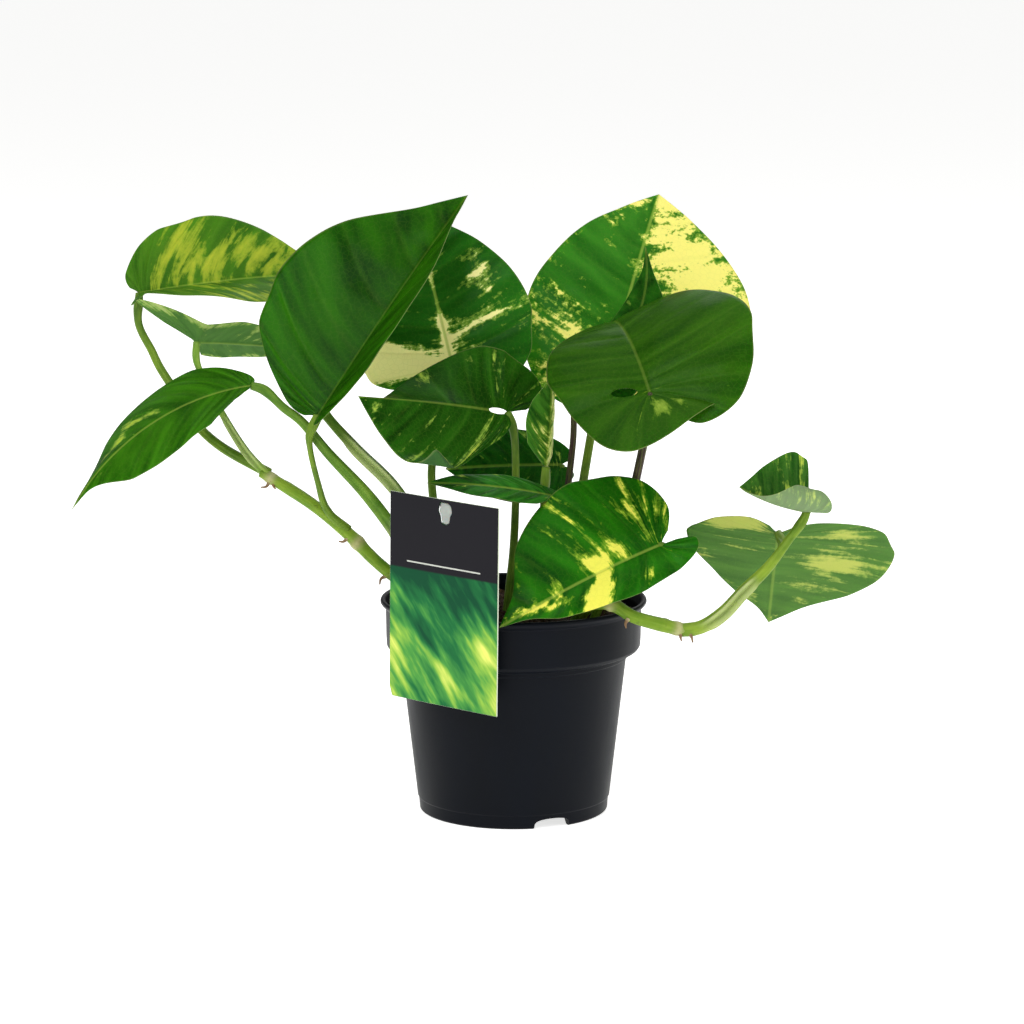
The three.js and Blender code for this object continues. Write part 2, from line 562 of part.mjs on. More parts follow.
// The solid without the crumbs, slivers and closed pockets that a union of thin sheets can leave in it.
function whole(solid) {
  const parts = solid.simplify(SLIVER).decompose();
  return parts.reduce((best, part) => (part.volume() > best.volume() ? part : best));
}

function piece(name, solid, finish) {
  const material = new THREE.MeshStandardMaterial({ ...finish, metalness: 0 });
  const mesh = new THREE.Mesh(toGeometry(whole(solid)), material);
  mesh.name = name;
  return mesh;
}

// A stalk that stands in the soil runs straight down from its last point.
function stalkPath(leaf) {
  if (leaf.on !== 'soil') return leaf.stalk;
  const [x, y, z] = leaf.stalk.at(-1);
  return [...leaf.stalk, [x, y, z - ROOTED]];
}

function vineSolid(vine, grow) {
  const stubs = vine.nubs.map((nub) => bentRod(nub, NUB, { grow, sides: 5 }));
  return stubs.reduce((solid, stub) => solid.add(stub), bentRod(vine.path, vine.radius, { grow }));
}

function stalkSolid(leaf, grow) {
  return bentRod(stalkPath(leaf), leaf.radius, { grow });
}

const plant = new THREE.Group();
const holes = [];

for (const [name, vine] of Object.entries(VINES)) {
  plant.add(piece(name, vineSolid(vine, 0), FINISH.stalk));
  holes.push(vineSolid(vine, GAP));
}

for (const [name, leaf] of Object.entries(LEAVES)) {
  let solid = blade(leaf).add(stalkSolid(leaf, 0));
  if (leaf.on === 'soil') holes.push(stalkSolid(leaf, GAP));
  else solid = solid.subtract(vineSolid(VINES[leaf.on], GAP));
  if (leaf.beside) solid = solid.subtract(stalkSolid(LEAVES[leaf.beside], GAP));
  plant.add(piece(name, solid, FINISH.leaf));
}

const label = stake();
holes.push(label.slot);
plant.add(piece('label_stake', label.stake, FINISH.stake));
plant.add(piece('label_card', card(), FINISH.card));
plant.add(piece('pot', pot(), FINISH.pot));
plant.add(piece('soil', soil(holes), FINISH.soil));

export default plant;
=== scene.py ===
"""Potted variegated pothos with a hanging label card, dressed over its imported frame. Metres, +Z up.

The leaves, stems and label repeat the named sizes of the part's source, in millimetres, and are worked out
again on finer grids. Everything is laid out as an add-on: property groups hold the sizes and colours, one
operator makes each group of pieces, and a panel lists them.
"""

import math

import bmesh
import bpy
import numpy as np
from bpy.props import FloatProperty, FloatVectorProperty, IntProperty, PointerProperty
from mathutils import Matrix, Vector


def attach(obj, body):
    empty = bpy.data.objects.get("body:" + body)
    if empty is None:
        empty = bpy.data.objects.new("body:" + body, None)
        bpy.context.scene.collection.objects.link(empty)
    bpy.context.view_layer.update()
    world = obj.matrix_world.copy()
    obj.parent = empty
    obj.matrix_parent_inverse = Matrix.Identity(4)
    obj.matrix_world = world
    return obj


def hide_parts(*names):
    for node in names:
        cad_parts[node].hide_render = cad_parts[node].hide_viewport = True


bl_info = {
    "name": "Potted pothos",
    "version": (1, 0, 0),
    "blender": (4, 5, 0),
    "location": "View3D > Sidebar > Pothos",
    "description": "Makes a variegated climbing plant in a nursery pot with a label card",
    "category": "Add Mesh",
}

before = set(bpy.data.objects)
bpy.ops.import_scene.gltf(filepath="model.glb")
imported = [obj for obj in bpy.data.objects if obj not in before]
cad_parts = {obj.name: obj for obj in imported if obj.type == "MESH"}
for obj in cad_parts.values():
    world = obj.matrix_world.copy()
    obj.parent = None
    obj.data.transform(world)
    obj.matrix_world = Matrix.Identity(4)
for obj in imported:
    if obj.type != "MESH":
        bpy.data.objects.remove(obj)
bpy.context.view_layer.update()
BODY = "root"
MM = 0.001


def linear(colour):
    """An sRGB hex colour such as "#3f7a25" as linear red, green and blue."""
    parts = [int(colour[i : i + 2], 16) / 255 for i in (1, 3, 5)]
    return tuple(p / 12.92 if p <= 0.04045 else ((p + 0.055) / 1.055) ** 2.4 for p in parts)


def length(name, description, default, **limits):
    """A property that holds a length in metres."""
    return FloatProperty(
        name=name, description=description, default=default, min=0, unit="LENGTH", subtype="DISTANCE",
        **limits,
    )


def colour(name, description, default):
    """A property that holds a colour, with its default as an sRGB hex value."""
    return FloatVectorProperty(
        name=name, description=description, default=linear(default), size=3, subtype="COLOR", min=0, max=1
    )


# ---------------------------------------------------------------- sizes of the plant, in millimetres

# A leaf's outline from the sinus round a basal lobe to the tip, as (along, across). Along, a negative
# number is a share of the lobe's depth and a positive one a share of the blade's length. Across is a share
# of the half's width, and WIDEST says how far along it is 1. VEIN_START says where on the midrib the vein to
# each of these points starts, and VEIN_BEND is the power by which it bends forward.
MARGIN = [
    (-0.5, 0.1), (-1.0, 0.34), (-0.8, 0.68), (0.04, 0.93), (0.27, 1.0), (0.5, 0.88), (0.7, 0.63),
    (0.86, 0.31), (1.0, 0.0),
]
VEIN_START = [0, 0.0, 0.01, 0.05, 0.16, 0.36, 0.58, 0.8, 1.0]
WIDEST = 0.27
VEIN_BEND = 1.35

# How far past the base, as a share of the length, the lobe's scale passes into the blade's, in how many steps
# a cross-section turns, and how deep a stalk goes on below its last point, into the soil.
TURN = 0.1
SECTION_STEPS = 8
ROOTED = 14

# Each leaf's base, tip and the way its upper side looks, then pairs for the left and right half. Of these,
# `fold` is how steeply a half leaves the midrib at the base and at the tip, `cup` how far it turns on the way
# to its margin and `curl` by what power, and `heel` how steeply its lobe lifts, in degrees. `lobe`, `belly`
# and `gape` are shares of the length or the width. `arch` is the droop of the midrib in degrees, `drip` the
# share by which the tip is drawn narrower, and `wave` is [height, crests, phase] of the margin's ripple.
# `stalk` runs from the base of the blade to the soil or to a vine, and `radius` follows it.
LEAVES = {
    "leaf_far_left": dict(
        base=[-168.4, 24, 231.4], tip=[-81, 52, 237.8], face=[0, 0, 1],
        width=[37, 27], fold=[[46, 40], [8, -34]], cup=[8, -6], heel=[0, -40], arch=8, drip=0.2,
        lobe=[0.08, 0.1], belly=[0.4, 0.4], wave=[0.8, 2, 0.2],
        stalk=[[-169, 25, 217.4], [-163.2, 24, 205.3], [-159.5, 22, 198], [-150, 19, 183.8],
            [-142.5, 15, 172.8], [-131.5, 9, 164], [-109.4, 1, 153]],
        radius=[1.6, 1.9, 2.1, 2.4], on="vine_left",
    ),
    "leaf_drooping_left": dict(
        base=[-116, -12, 194.4], tip=[-195, -30, 141], face=[-0.5, -0.45, 0.75],
        width=[23, 29], fold=[[4, -22], [10, -24]], cup=[-12, -6], arch=61, drip=0.7,
        lobe=[-0.02, 0.06], belly=[0.45, 0.4], wave=[0.6, 2, 0.6],
        stalk=[[-110.4, -12, 192.4], [-101.6, -13, 184.5], [-94.1, -14, 178.9], [-82.1, -16, 164.8],
            [-64.4, -20, 146.2], [-50, -23, 127], [-37, -25, 106], [-31, -24, 90]],
        radius=[1.7, 2.2, 2.9, 3.1, 3.1], on="soil",
    ),
    "leaf_large_left": dict(
        base=[-86.2, -20, 182], tip=[-20.4, 26, 275.4], face=[-0.3, -0.85, 0.4],
        width=[54, 34], fold=[[2, 4], [54, 55]], cup=[5, -8], arch=8, drip=0.2,
        lobe=[0.05, 0.08], belly=[0.41, 0.4], wave=[0.9, 2, 0.1],
        stalk=[[-90, -20.5, 173.5], [-90, -19, 168], [-87, -14, 152], [-83, -8, 137.5], [-74, -6, 128.5]],
        radius=[2.0, 1.3, 1.3, 1.6, 2.3], on="vine_left",
    ),
    "leaf_small_left": dict(
        base=[-142.2, 13, 210.8], tip=[-92, 38, 203.6], face=[0, 0.72, 0.7],
        width=[13, 15], fold=[[6, 6], [2, 2]], cup=[0, 0], heel=[0, 34], arch=8,
        lobe=[-0.02, 0.5], belly=[0.35, 0.35], wave=[0.5, 2, 0.3],
        stalk=[[-142, 12, 202], [-138, 10, 193], [-131, 7, 180], [-119.3, 2.5, 162], [-110.5, 0, 152.7]],
        radius=[1.3, 1.4, 1.7, 2.1], on="vine_left",
    ),
    "leaf_back_left": dict(
        base=[-27, 22, 196.3], tip=[-44.8, 48, 266.7], face=[-0.1, -0.9, 0.4],
        width=[42, 41], fold=[[6, 6], [4, 4]], cup=[-10, -8], arch=14,
        lobe=[0.07, 0.14], belly=[0.3, 0.28], wave=[1.2, 3, 0.5],
        stalk=[[-27.5, 24, 188], [-33, 21, 170], [-37, 18, 152], [-33, 15, 120], [-26, 12, 100],
            [-24, 11, 88]],
        radius=[1.7, 1.8, 2.0, 2.2], on="soil",
    ),
    "leaf_back_right": dict(
        base=[41.2, 40, 186.7], tip=[68, 98, 269.5], face=[0.05, -0.8, 0.6],
        width=[45, 60], fold=[[4, 4], [4, 4]], cup=[-14, -12], arch=34,
        lobe=[0.14, 0.14], belly=[0.33, 0.36], wave=[1.4, 3, 0.1],
        stalk=[[38, 41, 177], [33, 35, 151], [28, 27, 120], [24, 20, 100], [23, 18, 88]],
        radius=[1.9, 2.0, 2.2, 2.4], on="soil",
    ),
    "leaf_front_right": dict(
        base=[59.8, -28, 192.9], tip=[44, 37, 215.5], face=[-0.02, -0.75, 0.65],
        width=[41, 54], fold=[[0, 0], [16, 16]], cup=[-14, -14], heel=[24, 0], arch=80,
        lobe=[0.38, 0.28], gape=[-0.6, 0.1], belly=[0.3, 0.3], wave=[0.8, 2, 0.2],
        stalk=[[60.5, -22, 186], [57, -12, 165], [52, -6, 140], [44, -5, 110], [39, -5, 88]],
        radius=[1.8, 1.9, 2.1, 2.4], on="soil",
    ),
    "leaf_behind_right": dict(
        base=[31, 24, 192.7], tip=[59.4, 38, 251.5], face=[-0.75, -0.45, 0.35],
        width=[17, 22], fold=[[20, 20], [-35, -10]], cup=[-10, -10], arch=-85, drip=0.4,
        lobe=[0.12, 0.12], belly=[0.14, 0.16], wave=[0.6, 2, 0.4],
        stalk=[[28, 24, 186], [27, 22, 165], [24, 15, 140], [20, 5, 110], [18, 2, 88]],
        radius=[1.4, 1.5, 1.7, 2.0], on="soil",
    ),
    "leaf_centre": dict(
        base=[-2.5, -5, 181.1], tip=[-66.9, -60, 196.5], face=[-0.1, -0.2, 0.97],
        width=[44, 31], fold=[[-62, -62], [60, -40]], cup=[190, 10], curl=[4, 1], arch=6, drip=0.3,
        lobe=[0.04, 0.26], belly=[0.7, 0.12], wave=[0.6, 2, 0.7],
        stalk=[[0, -2, 173], [1, -2, 150], [0, -4, 120], [-2, -6, 100], [-3, -7, 88]],
        radius=[1.6, 1.7, 1.9, 2.2], on="soil",
    ),
    "leaf_inner": dict(
        base=[22, 32, 152], tip=[-31, 26, 151], face=[0, -0.85, 0.5],
        width=[18, 18], fold=[[6, 6], [6, 6]], cup=[-24, -20], arch=14,
        lobe=[0.14, 0.14], belly=[0.4, 0.4], wave=[0.6, 2, 0.2],
        stalk=[[21, 32, 144], [12, 27, 120], [2, 21, 100], [-2, 18, 88]],
        radius=[1.3, 1.4, 1.5, 1.8], on="soil",
    ),
    "leaf_front_left": dict(
        base=[17.4, -17, 145.8], tip=[-38, -43, 155.8], face=[0, -0.6, 1],
        width=[11, 9], fold=[[14, 8], [12, 8]], cup=[-16, -20], arch=14,
        lobe=[0.02, 0.1], belly=[0.4, 0.4], wave=[0.5, 2, 0.2],
        stalk=[[18, -16, 138], [15, -16, 119], [12, -16, 100], [11, -16, 88]],
        radius=[1.3, 1.4, 1.5, 1.8], on="soil",
    ),
    "leaf_young": dict(
        base=[14.4, -10, 157.5], tip=[17, -2, 199], face=[-0.55, -0.8, 0.2],
        width=[13, 15], fold=[[62, 50], [36, 40]], cup=[20, 30], arch=-16, drip=0.3,
        lobe=[-0.02, -0.02], belly=[0.42, 0.42], wave=[0.3, 2, 0.2],
        stalk=[[14, -9, 149], [12, -7, 126], [7, -7, 104], [5, -7, 88]],
        radius=[1.7, 1.7, 1.8, 2.0], on="soil",
    ),
    "leaf_hidden_left": dict(
        base=[-87, 2, 188], tip=[-71, 22, 226], face=[-0.3, -0.85, 0.4],
        width=[15, 14], fold=[[20, 20], [20, 20]], cup=[10, 10], arch=10,
        lobe=[0.06, 0.06], belly=[0.3, 0.3], wave=[0.4, 2, 0.2],
        stalk=[[-85.5, -3, 183], [-70.3, -12, 166.5], [-53.3, -17, 150], [-38, -20, 125], [-29, -18, 104],
            [-26, -16, 88]],
        radius=[1.8, 2.6, 2.9, 3.0, 3.0], on="soil",
    ),
    "leaf_front_heart": dict(
        base=[65.1, -36, 127.5], tip=[-6.3, -63, 95.4], face=[-0.1, -0.8, 0.6],
        width=[17, 46], fold=[[6, 4], [4, 4]], cup=[-16, -10], heel=[20, 6], arch=20, drip=0.4,
        lobe=[0.16, 0.15], belly=[0.27, 0.26], wave=[0.8, 2, 0.3],
        stalk=[[63, -31, 122.5], [54, -24, 113], [42, -19, 102], [35, -19, 88]],
        radius=[1.6, 1.8, 2.0, 2.2], on="soil",
    ),
    "leaf_right_far": dict(
        base=[118.9, 4, 125.3], tip=[117.4, 38, 77.5], face=[0.02, 0.72, 0.6],
        width=[41, 54], fold=[[4, -4], [6, 0]], cup=[0, -6], arch=10, drip=0.3,
        lobe=[0.16, 0.1], belly=[0.07, 0.27], wave=[1.0, 2, 0.3],
        stalk=[[120, -6, 121], [104.5, -28, 107.7], [90.9, -36, 95.8], [80, -43, 90], [74, -46, 90]],
        radius=[1.7, 1.7, 1.8, 2.0], on="vine_right",
    ),
    "leaf_right_small": dict(
        base=[128.5, -38, 142.5], tip=[97.7, -52, 155.5], face=[-0.1, -0.2, 0.95],
        width=[21, 26], fold=[[14, 0], [60, 40]], cup=[150, 0], curl=[2, 1], arch=-20,
        lobe=[0.2, 0.02], belly=[0.3, 0.2], wave=[0.4, 2, 0.3],
        stalk=[[126.8, -38, 138.5], [120.6, -39, 130], [111.4, -41, 118], [100.5, -43, 107.5],
            [91.7, -45, 98.5], [82.1, -46, 92.4], [73.3, -46, 91]],
        radius=[1.6, 2.0, 2.7, 3.0, 3.0], on="vine_right",
    ),
}

VINES = {
    "vine_left": dict(
        path=[
            [-30, -4, 78], [-40, -6, 93], [-48, -8, 103.5], [-56.1, -8, 110], [-63, -7.5, 116],
            [-73, -6, 126], [-90.5, -3, 140], [-109.4, 0, 151.5], [-113, 0.5, 153.5],
        ],
        radius=[3.0, 3.0, 2.9, 2.8, 2.9, 2.7, 2.8, 2.2],
        joints=[0.3, 0.53, 0.955],
        roots=[
            [[-109, -1.5, 150], [-110.5, -2.1, 147.5], [-113, -2.4, 147.2]],
            [[-107.5, -1.5, 149.5], [-107.2, -2.4, 147.6], [-106.3, -2.7, 146.4]],
            [[-74, -7.5, 125], [-76.2, -8.1, 123.5], [-78, -8.4, 123.8]],
            [[-57, -9, 108], [-59.2, -10.2, 107.1], [-59.8, -10.9, 104.6]],
        ],
    ),
    "vine_right": dict(
        path=[
            [22, -28, 78], [28, -34, 93], [35, -41, 101.5], [43, -46, 102.5], [52, -49, 97.8], [64, -48, 94],
            [73.3, -46, 91.5], [77, -45.5, 91.5],
        ],
        radius=[2.8, 2.8, 2.8, 2.8, 2.8, 3.1, 2.4],
        joints=[0.52, 0.93],
        roots=[
            [[73, -47.5, 90], [73.1, -48.4, 88.1], [73.5, -48.4, 86.6]],
            [[77, -47, 90.5], [77.9, -47.9, 88.3], [78.5, -47.9, 85.8]],
            [[50, -51, 97], [48.8, -52.2, 95.1], [49.1, -52.9, 93.3]],
        ],
    ),
}

# The pot's wall as radii and heights, its drainage cuts, the soil in it, and the card on its stake.
POT = dict(
    lip_radius=60, lip_top=97, band_radius=57.3, band_bottom=78, body_top_radius=50.8, body_top=70.5,
    foot_radius=42.6, foot_step=0.5, foot_height=6.5, wall=1.4, floor_under=3, pip=5,
)
DRAIN = dict(count=3, width=17, height=4.4, first_angle=-66, holes=6, hole_radius=4, hole_circle=26)
SOIL = dict(top=89, crown=2.5, roughness=1.1)
CARD = dict(
    width=58.6, height=92.4, thickness=0.7, corner=2.2, middle=np.array([-30.45, -53.3, 104.5]), yaw=36,
    lean=1.8, roll=2.1, hole_drop=6.4, hole_aside=0.8, hole_waist=2.7, hole_shoulder=4.0,
    hole_half_height=5.2,
)
STAKE = dict(
    width=8, thickness=1.2, length=84, lean=12, top=149.4, top_reach=61.1, aside=9, button=3.6,
    clearance=0.35,
)

# How each leaf is coloured. `pale` is how much of it is cream, about -0.3 for none and 0.3 for most of it;
# a patch adds to that at (u, across), where u runs from the sinus to the tip and across from -1 to 1, with
# its widths that way and its strength. Colours are sRGB.
LOOKS = {
    "leaf_far_left": dict(
        seed=1, dark="#2e5a10", green="#477717", pale=0.17, cream="#a9b233", halo="#779626",
        soft=0.22, flecked=0.3,
        patches=[(0.55, -0.3, 0.16, 0.5, 0.15), (0.8, -0.4, 0.12, 0.6, 0.3), (0.12, 0, 0.18, 1.4, -0.5)],
    ),
    "leaf_drooping_left": dict(
        seed=2, dark="#1d4c06", green="#37720e", pale=-0.3, cream="#a9bf3a", soft=0.15,
        patches=[(0.72, 0.5, 0.12, 0.35, 0.75)],
    ),
    "leaf_large_left": dict(
        seed=3, dark="#0f3802", green="#276204", pale=-0.3, cream="#bccf62", rib=0.13,
    ),
    "leaf_small_left": dict(
        seed=4, dark="#2c5a1a", green="#4a782c", pale=-0.05, cream="#bcc97a", below="#5c8048", soft=0.2,
        patches=[(0.4, 0.95, 0.5, 0.2, 0.55), (0.4, -0.95, 0.5, 0.2, 0.45)],
    ),
    "leaf_back_left": dict(
        seed=5, dark="#17480c", green="#266518", pale=-0.02, cream="#fdf6a4", flecked=0.9,
        patches=[
            (0.42, -0.62, 0.075, 0.6, 1.7), (0.53, 0.5, 0.02, 0.5, 0.75), (0.6, 0, 0.5, 0.05, 0.6),
            (0.35, -0.3, 0.04, 0.3, 0.8), (0.7, 0.7, 0.1, 0.2, 0.45), (0.35, 0.25, 0.05, 0.2, 0.8),
        ],
        rib=0.6,
    ),
    "leaf_back_right": dict(
        seed=6, dark="#1f5a10", green="#35791c", pale=0.12, cream="#f3ea7c", halo="#8fb03c", flecked=1.4,
        patches=[
            (0.5, 0.6, 0.9, 0.55, 0.75), (0.3, -0.6, 0.1, 0.6, 0.35), (0.75, -0.3, 0.15, 0.5, -0.3),
            (0.45, -0.35, 0.07, 0.25, 0.6),
        ],
        rib=0.5,
    ),
    "leaf_front_right": dict(
        seed=7, dark="#1c4405", green="#305b0b", pale=-0.3, cream="#8fa83c", halo="#56801c", soft=0.2,
        patches=[(0.08, -0.6, 0.2, 0.8, 0.5), (0.5, 0.45, 0.2, 0.1, 0.3)], rib=0.15,
    ),
    "leaf_behind_right": dict(
        seed=8, dark="#12390a", green="#245f12", pale=-0.2, cream="#c3cf5a", rib=0.2,
    ),
    "leaf_centre": dict(
        seed=9, dark="#103404", green="#23560c", pale=-0.05, cream="#b4bd48", below="#55704f", rib=0.25,
        patches=[(0.4, 0.4, 0.2, 0.3, 0.1)],
    ),
    "leaf_inner": dict(seed=10, dark="#123c10", green="#235f18", pale=-0.05),
    "leaf_front_left": dict(seed=11, dark="#15440f", green="#2f7220", pale=-0.1),
    "leaf_young": dict(
        seed=12, dark="#1f4f16", green="#4a842a", pale=0.2, cream="#e6e88f",
        patches=[(0.5, 0.6, 0.8, 0.5, 0.55), (0.5, -0.6, 0.8, 0.5, -0.2)],
    ),
    "leaf_hidden_left": dict(seed=13, dark="#174a15", green="#2f7022", pale=0.1),
    "leaf_front_heart": dict(
        seed=14, dark="#0f4407", green="#25700c", pale=-0.02, cream="#ece95c", halo="#86ad2c",
        patches=[
            (0.63, -0.5, 0.036, 0.55, 1.3), (0.78, -0.5, 0.08, 0.4, 0.4), (0.12, 0.7, 0.1, 0.3, 0.4),
            (0.88, 0, 0.08, 0.6, 0.35), (0.55, 0.12, 0.2, 0.12, 0.4), (0.2, -0.4, 0.08, 0.4, -0.2),
        ],
        rib=0.45,
    ),
    "leaf_right_far": dict(
        seed=15, dark="#2f5c1c", green="#4a7829", pale=0.02, cream="#cdd062", below="#66854f", halo="#86a245",
        soft=0.16,
        patches=[(0.2, -0.75, 0.12, 0.45, 1.2), (0.36, 0.6, 0.1, 0.3, 0.5), (0.58, 0.5, 0.06, 0.35, 0.5)],
    ),
    "leaf_right_small": dict(
        seed=16, dark="#1f4a14", green="#3d6c24", pale=0.02, cream="#c5d050", below="#b3c29a", soft=0.15,
        patches=[(0.5, 0.3, 0.2, 0.4, 0.15)],
    ),
}

# Small tears through two blades: the middle, half the width and height, and how far the oval is tipped.
TEARS = {"leaf_front_right": (48.5, -27, 193.2, 5.8, 1.9, 5), "leaf_centre": (-7.0, -5, 182, 4.0, 1.3, -8)}

# The two greens of each leaf's stalk, and the stretches along it that carry a papery sheath, as shares from
# the blade down. A purple stalk is one that has coloured in the light.
FRESH, OLIVE, PURPLE = ("#44681a", "#708e25"), ("#55722a", "#7d9438"), ("#2a1d20", "#4a3530")
STALKS = {
    "leaf_drooping_left": (("#3f6b19", "#688e2a"), [(0.55, 0.9)]),
    "leaf_large_left": (FRESH, [(0.55, 0.9)]),
    "leaf_hidden_left": (("#44701c", "#75972f"), [(0.15, 0.5)]),
    "leaf_far_left": (FRESH, []),
    "leaf_small_left": (("#5f8a2a", "#93b04a"), [(0.5, 0.98)]),
    "leaf_right_small": (("#54781c", "#8aa430"), [(0.45, 0.92)]),
    "leaf_right_far": (OLIVE, [(0.5, 0.9)]),
    "leaf_behind_right": (PURPLE, []),
    "leaf_front_right": (PURPLE, [(0.4, 0.7)]),
}


# ---------------------------------------------------------------- curves and grids


def spline(points, place):
    """A uniform Catmull-Rom curve through the points: at each place, counted in points, the cubic whose ends
    are the two points on either side and whose slopes are half the step between their neighbours."""
    points = np.asarray(points, float)
    last = len(points) - 1
    i = np.clip(np.floor(place).astype(int), 0, last - 1)
    t = (np.asarray(place) - i)[..., None]
    before, start = points[np.maximum(i - 1, 0)], points[i]
    end, after = points[i + 1], points[np.minimum(i + 2, last)]
    leave, arrive = (end - before) / 2, (after - start) / 2
    cubic = (2 * (start - end) + leave + arrive) * t**3
    return cubic + (3 * (end - start) - 2 * leave - arrive) * t**2 + leave * t + start


def path_points(points, count):
    """A centripetal Catmull-Rom curve through the points, at `count` places evenly spaced by length. The
    knots lie apart by the square root of the distances, so the curve neither loops nor overshoots."""
    points = np.asarray(points, float)
    ends = np.vstack([2 * points[0] - points[1], points, 2 * points[-1] - points[-2]])
    gaps = np.linalg.norm(np.diff(ends, axis=0), axis=1)[:, None] ** 0.5
    slopes = (ends[1:] - ends[:-1]) / gaps
    chords = (ends[2:] - ends[:-2]) / (gaps[1:] + gaps[:-1])
    leave = (slopes[:-2] - chords[:-1] + slopes[1:-1]) * gaps[1:-1]
    arrive = (slopes[1:-1] - chords[1:] + slopes[2:]) * gaps[1:-1]
    t = np.linspace(0, 1, 40, endpoint=False)[None, :, None]
    start, end = points[:-1, None], points[1:, None]
    leave, arrive = leave[:, None], arrive[:, None]
    dense = (2 * (start - end) + leave + arrive) * t**3
    dense = dense + (3 * (end - start) - 2 * leave - arrive) * t**2 + leave * t + start
    dense = np.vstack([dense.reshape(-1, points.shape[1]), points[-1]])
    travelled = np.concatenate([[0], np.cumsum(np.linalg.norm(np.diff(dense, axis=0), axis=1))])
    wanted = np.linspace(0, travelled[-1], count)
    return np.stack([np.interp(wanted, travelled, axis) for axis in dense.T], axis=1), travelled[-1]


def bump(value, centre, width):
    """A bell curve of height 1."""
    return np.exp(-(((value - centre) / width) ** 2))


def smooth(value, low, high):
    """0 below low, 1 above high, and the smooth cubic step between."""
    t = np.clip((value - low) / (high - low), 0, 1)
    return t * t * (3 - 2 * t)


def ripples(points, size, seed, octaves=4):
    """Smooth noise from -1 to 1: a sum of sine waves in random directions, each octave half as long and a
    little more than half as high as the last. `size` is the longest wave's length."""
    random = np.random.default_rng(seed)
    total = np.zeros(points.shape[:-1])
    for octave in range(octaves):
        ways = random.normal(size=(6, points.shape[-1]))
        ways *= 2 * math.pi * 2**octave / size / np.linalg.norm(ways, axis=1, keepdims=True)
        total = total + 0.55**octave * np.sin(points @ ways.T + random.uniform(0, 6.3, 6)).sum(-1) / 4
    return total / 1.6


def quads(rows, columns, wrap=False, first=0):
    """The faces of a grid of points stored row by row, joined round on itself along each row if wrap."""
    row = np.arange(rows - 1)[:, None] * columns
    column = np.arange(columns if wrap else columns - 1)[None, :]
    following = (column + 1) % columns
    corners = [row + column, row + following, row + following + columns, row + column + columns]
    return first + np.stack(corners, axis=-1).reshape(-1, 4)


def tube_faces(rings, around, flat=False, flip=False):
    """The faces of a tube of rings stored one after the other. Each end is closed by one flat face, or by a
    fan round a point of its own, and those two points come after the rings. `flip` turns every face over."""
    here = np.arange(around)
    last = (rings - 1) * around
    if flat:
        ends = [here[::-1], here + last]
    else:
        there = (here + 1) % around
        start = np.stack([there, here, np.full(around, last + around)], axis=-1)
        end = np.stack([here + last, there + last, np.full(around, last + around + 1)], axis=-1)
        ends = [*start, *end]
    return [face[::-1] if flip else face for face in [*quads(rings, around, wrap=True), *ends]]


def rotated(first, second, angle):
    """Two coordinates turned by an angle, from the first axis towards the second."""
    return first * np.cos(angle) - second * np.sin(angle), first * np.sin(angle) + second * np.cos(angle)


def unit(vectors):
    """The vectors at length 1."""
    return vectors / np.maximum(np.linalg.norm(vectors, axis=-1, keepdims=True), 1e-12)


def grid_normals(points):
    """The normal at each point of a grid, across its rows and columns."""
    down = np.gradient(points, axis=0)
    along = np.gradient(points, axis=1)
    return unit(np.cross(along, down))


def new_mesh(name, points, faces):
    """A mesh from points in millimetres and faces."""
    mesh = bpy.data.meshes.new(name)
    mesh.from_pydata((np.asarray(points).reshape(-1, 3) * MM).tolist(), [], [list(face) for face in faces])
    return mesh


def add_piece(name, points, faces, material, uv=None, values=None, slot=None, replaces=(), merge=0.0):
    """Puts points in millimetres, faces, a UV map and point attributes into a mesh, and lets it ride on the
    plant."""
    mesh = new_mesh(name, points, faces)
    mesh.update()
    if uv is not None:
        corners = np.empty(len(mesh.loops), dtype=int)
        mesh.loops.foreach_get("vertex_index", corners)
        layer = mesh.uv_layers.new(name="UVMap")
        layer.data.foreach_set("uv", np.asarray(uv).reshape(-1, 2)[corners].ravel())
    for key, data in (values or {}).items():
        attribute = mesh.attributes.new(key, "FLOAT", "POINT")
        attribute.data.foreach_set("value", np.asarray(data, dtype=np.float32).ravel())
    if merge:
        shape = bmesh.new()
        shape.from_mesh(mesh)
        bmesh.ops.remove_doubles(shape, verts=shape.verts, dist=merge)
        shape.to_mesh(mesh)
        shape.free()
    mesh.shade_smooth()
    mesh.materials.append(material)
    piece = bpy.data.objects.new(name, mesh)
    bpy.context.scene.collection.objects.link(piece)
    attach(piece, BODY)
    if replaces:
        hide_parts(*replaces)
    return piece


def finish_with(piece, kind, **settings):
    """Adds a modifier and applies it, so that the mesh holds the finished shape."""
    modifier = piece.modifiers.new(kind.title(), kind)
    for key, value in settings.items():
        setattr(modifier, key, value)
    with bpy.context.temp_override(object=piece, active_object=piece, selected_objects=[piece]):
        bpy.ops.object.modifier_apply(modifier=modifier.name)


# ---------------------------------------------------------------- leaves


def leaf_frame(leaf):
    """The leaf's own axes: ahead from base to tip, up on its upper side, right across, and its arc."""
    base, tip = np.array(leaf["base"], float), np.array(leaf["tip"], float)
    chord = np.linalg.norm(tip - base)
    ahead = (tip - base) / chord
    up = unit(np.array(leaf["face"], float))
    up = unit(up - ahead * (up @ ahead))
    bend = math.radians(leaf["arch"]) or 1e-6
    radius = chord / (2 * math.sin(bend / 2))
    return dict(base=base, ahead=ahead, up=up, right=np.cross(ahead, up), bend=bend, radius=radius)


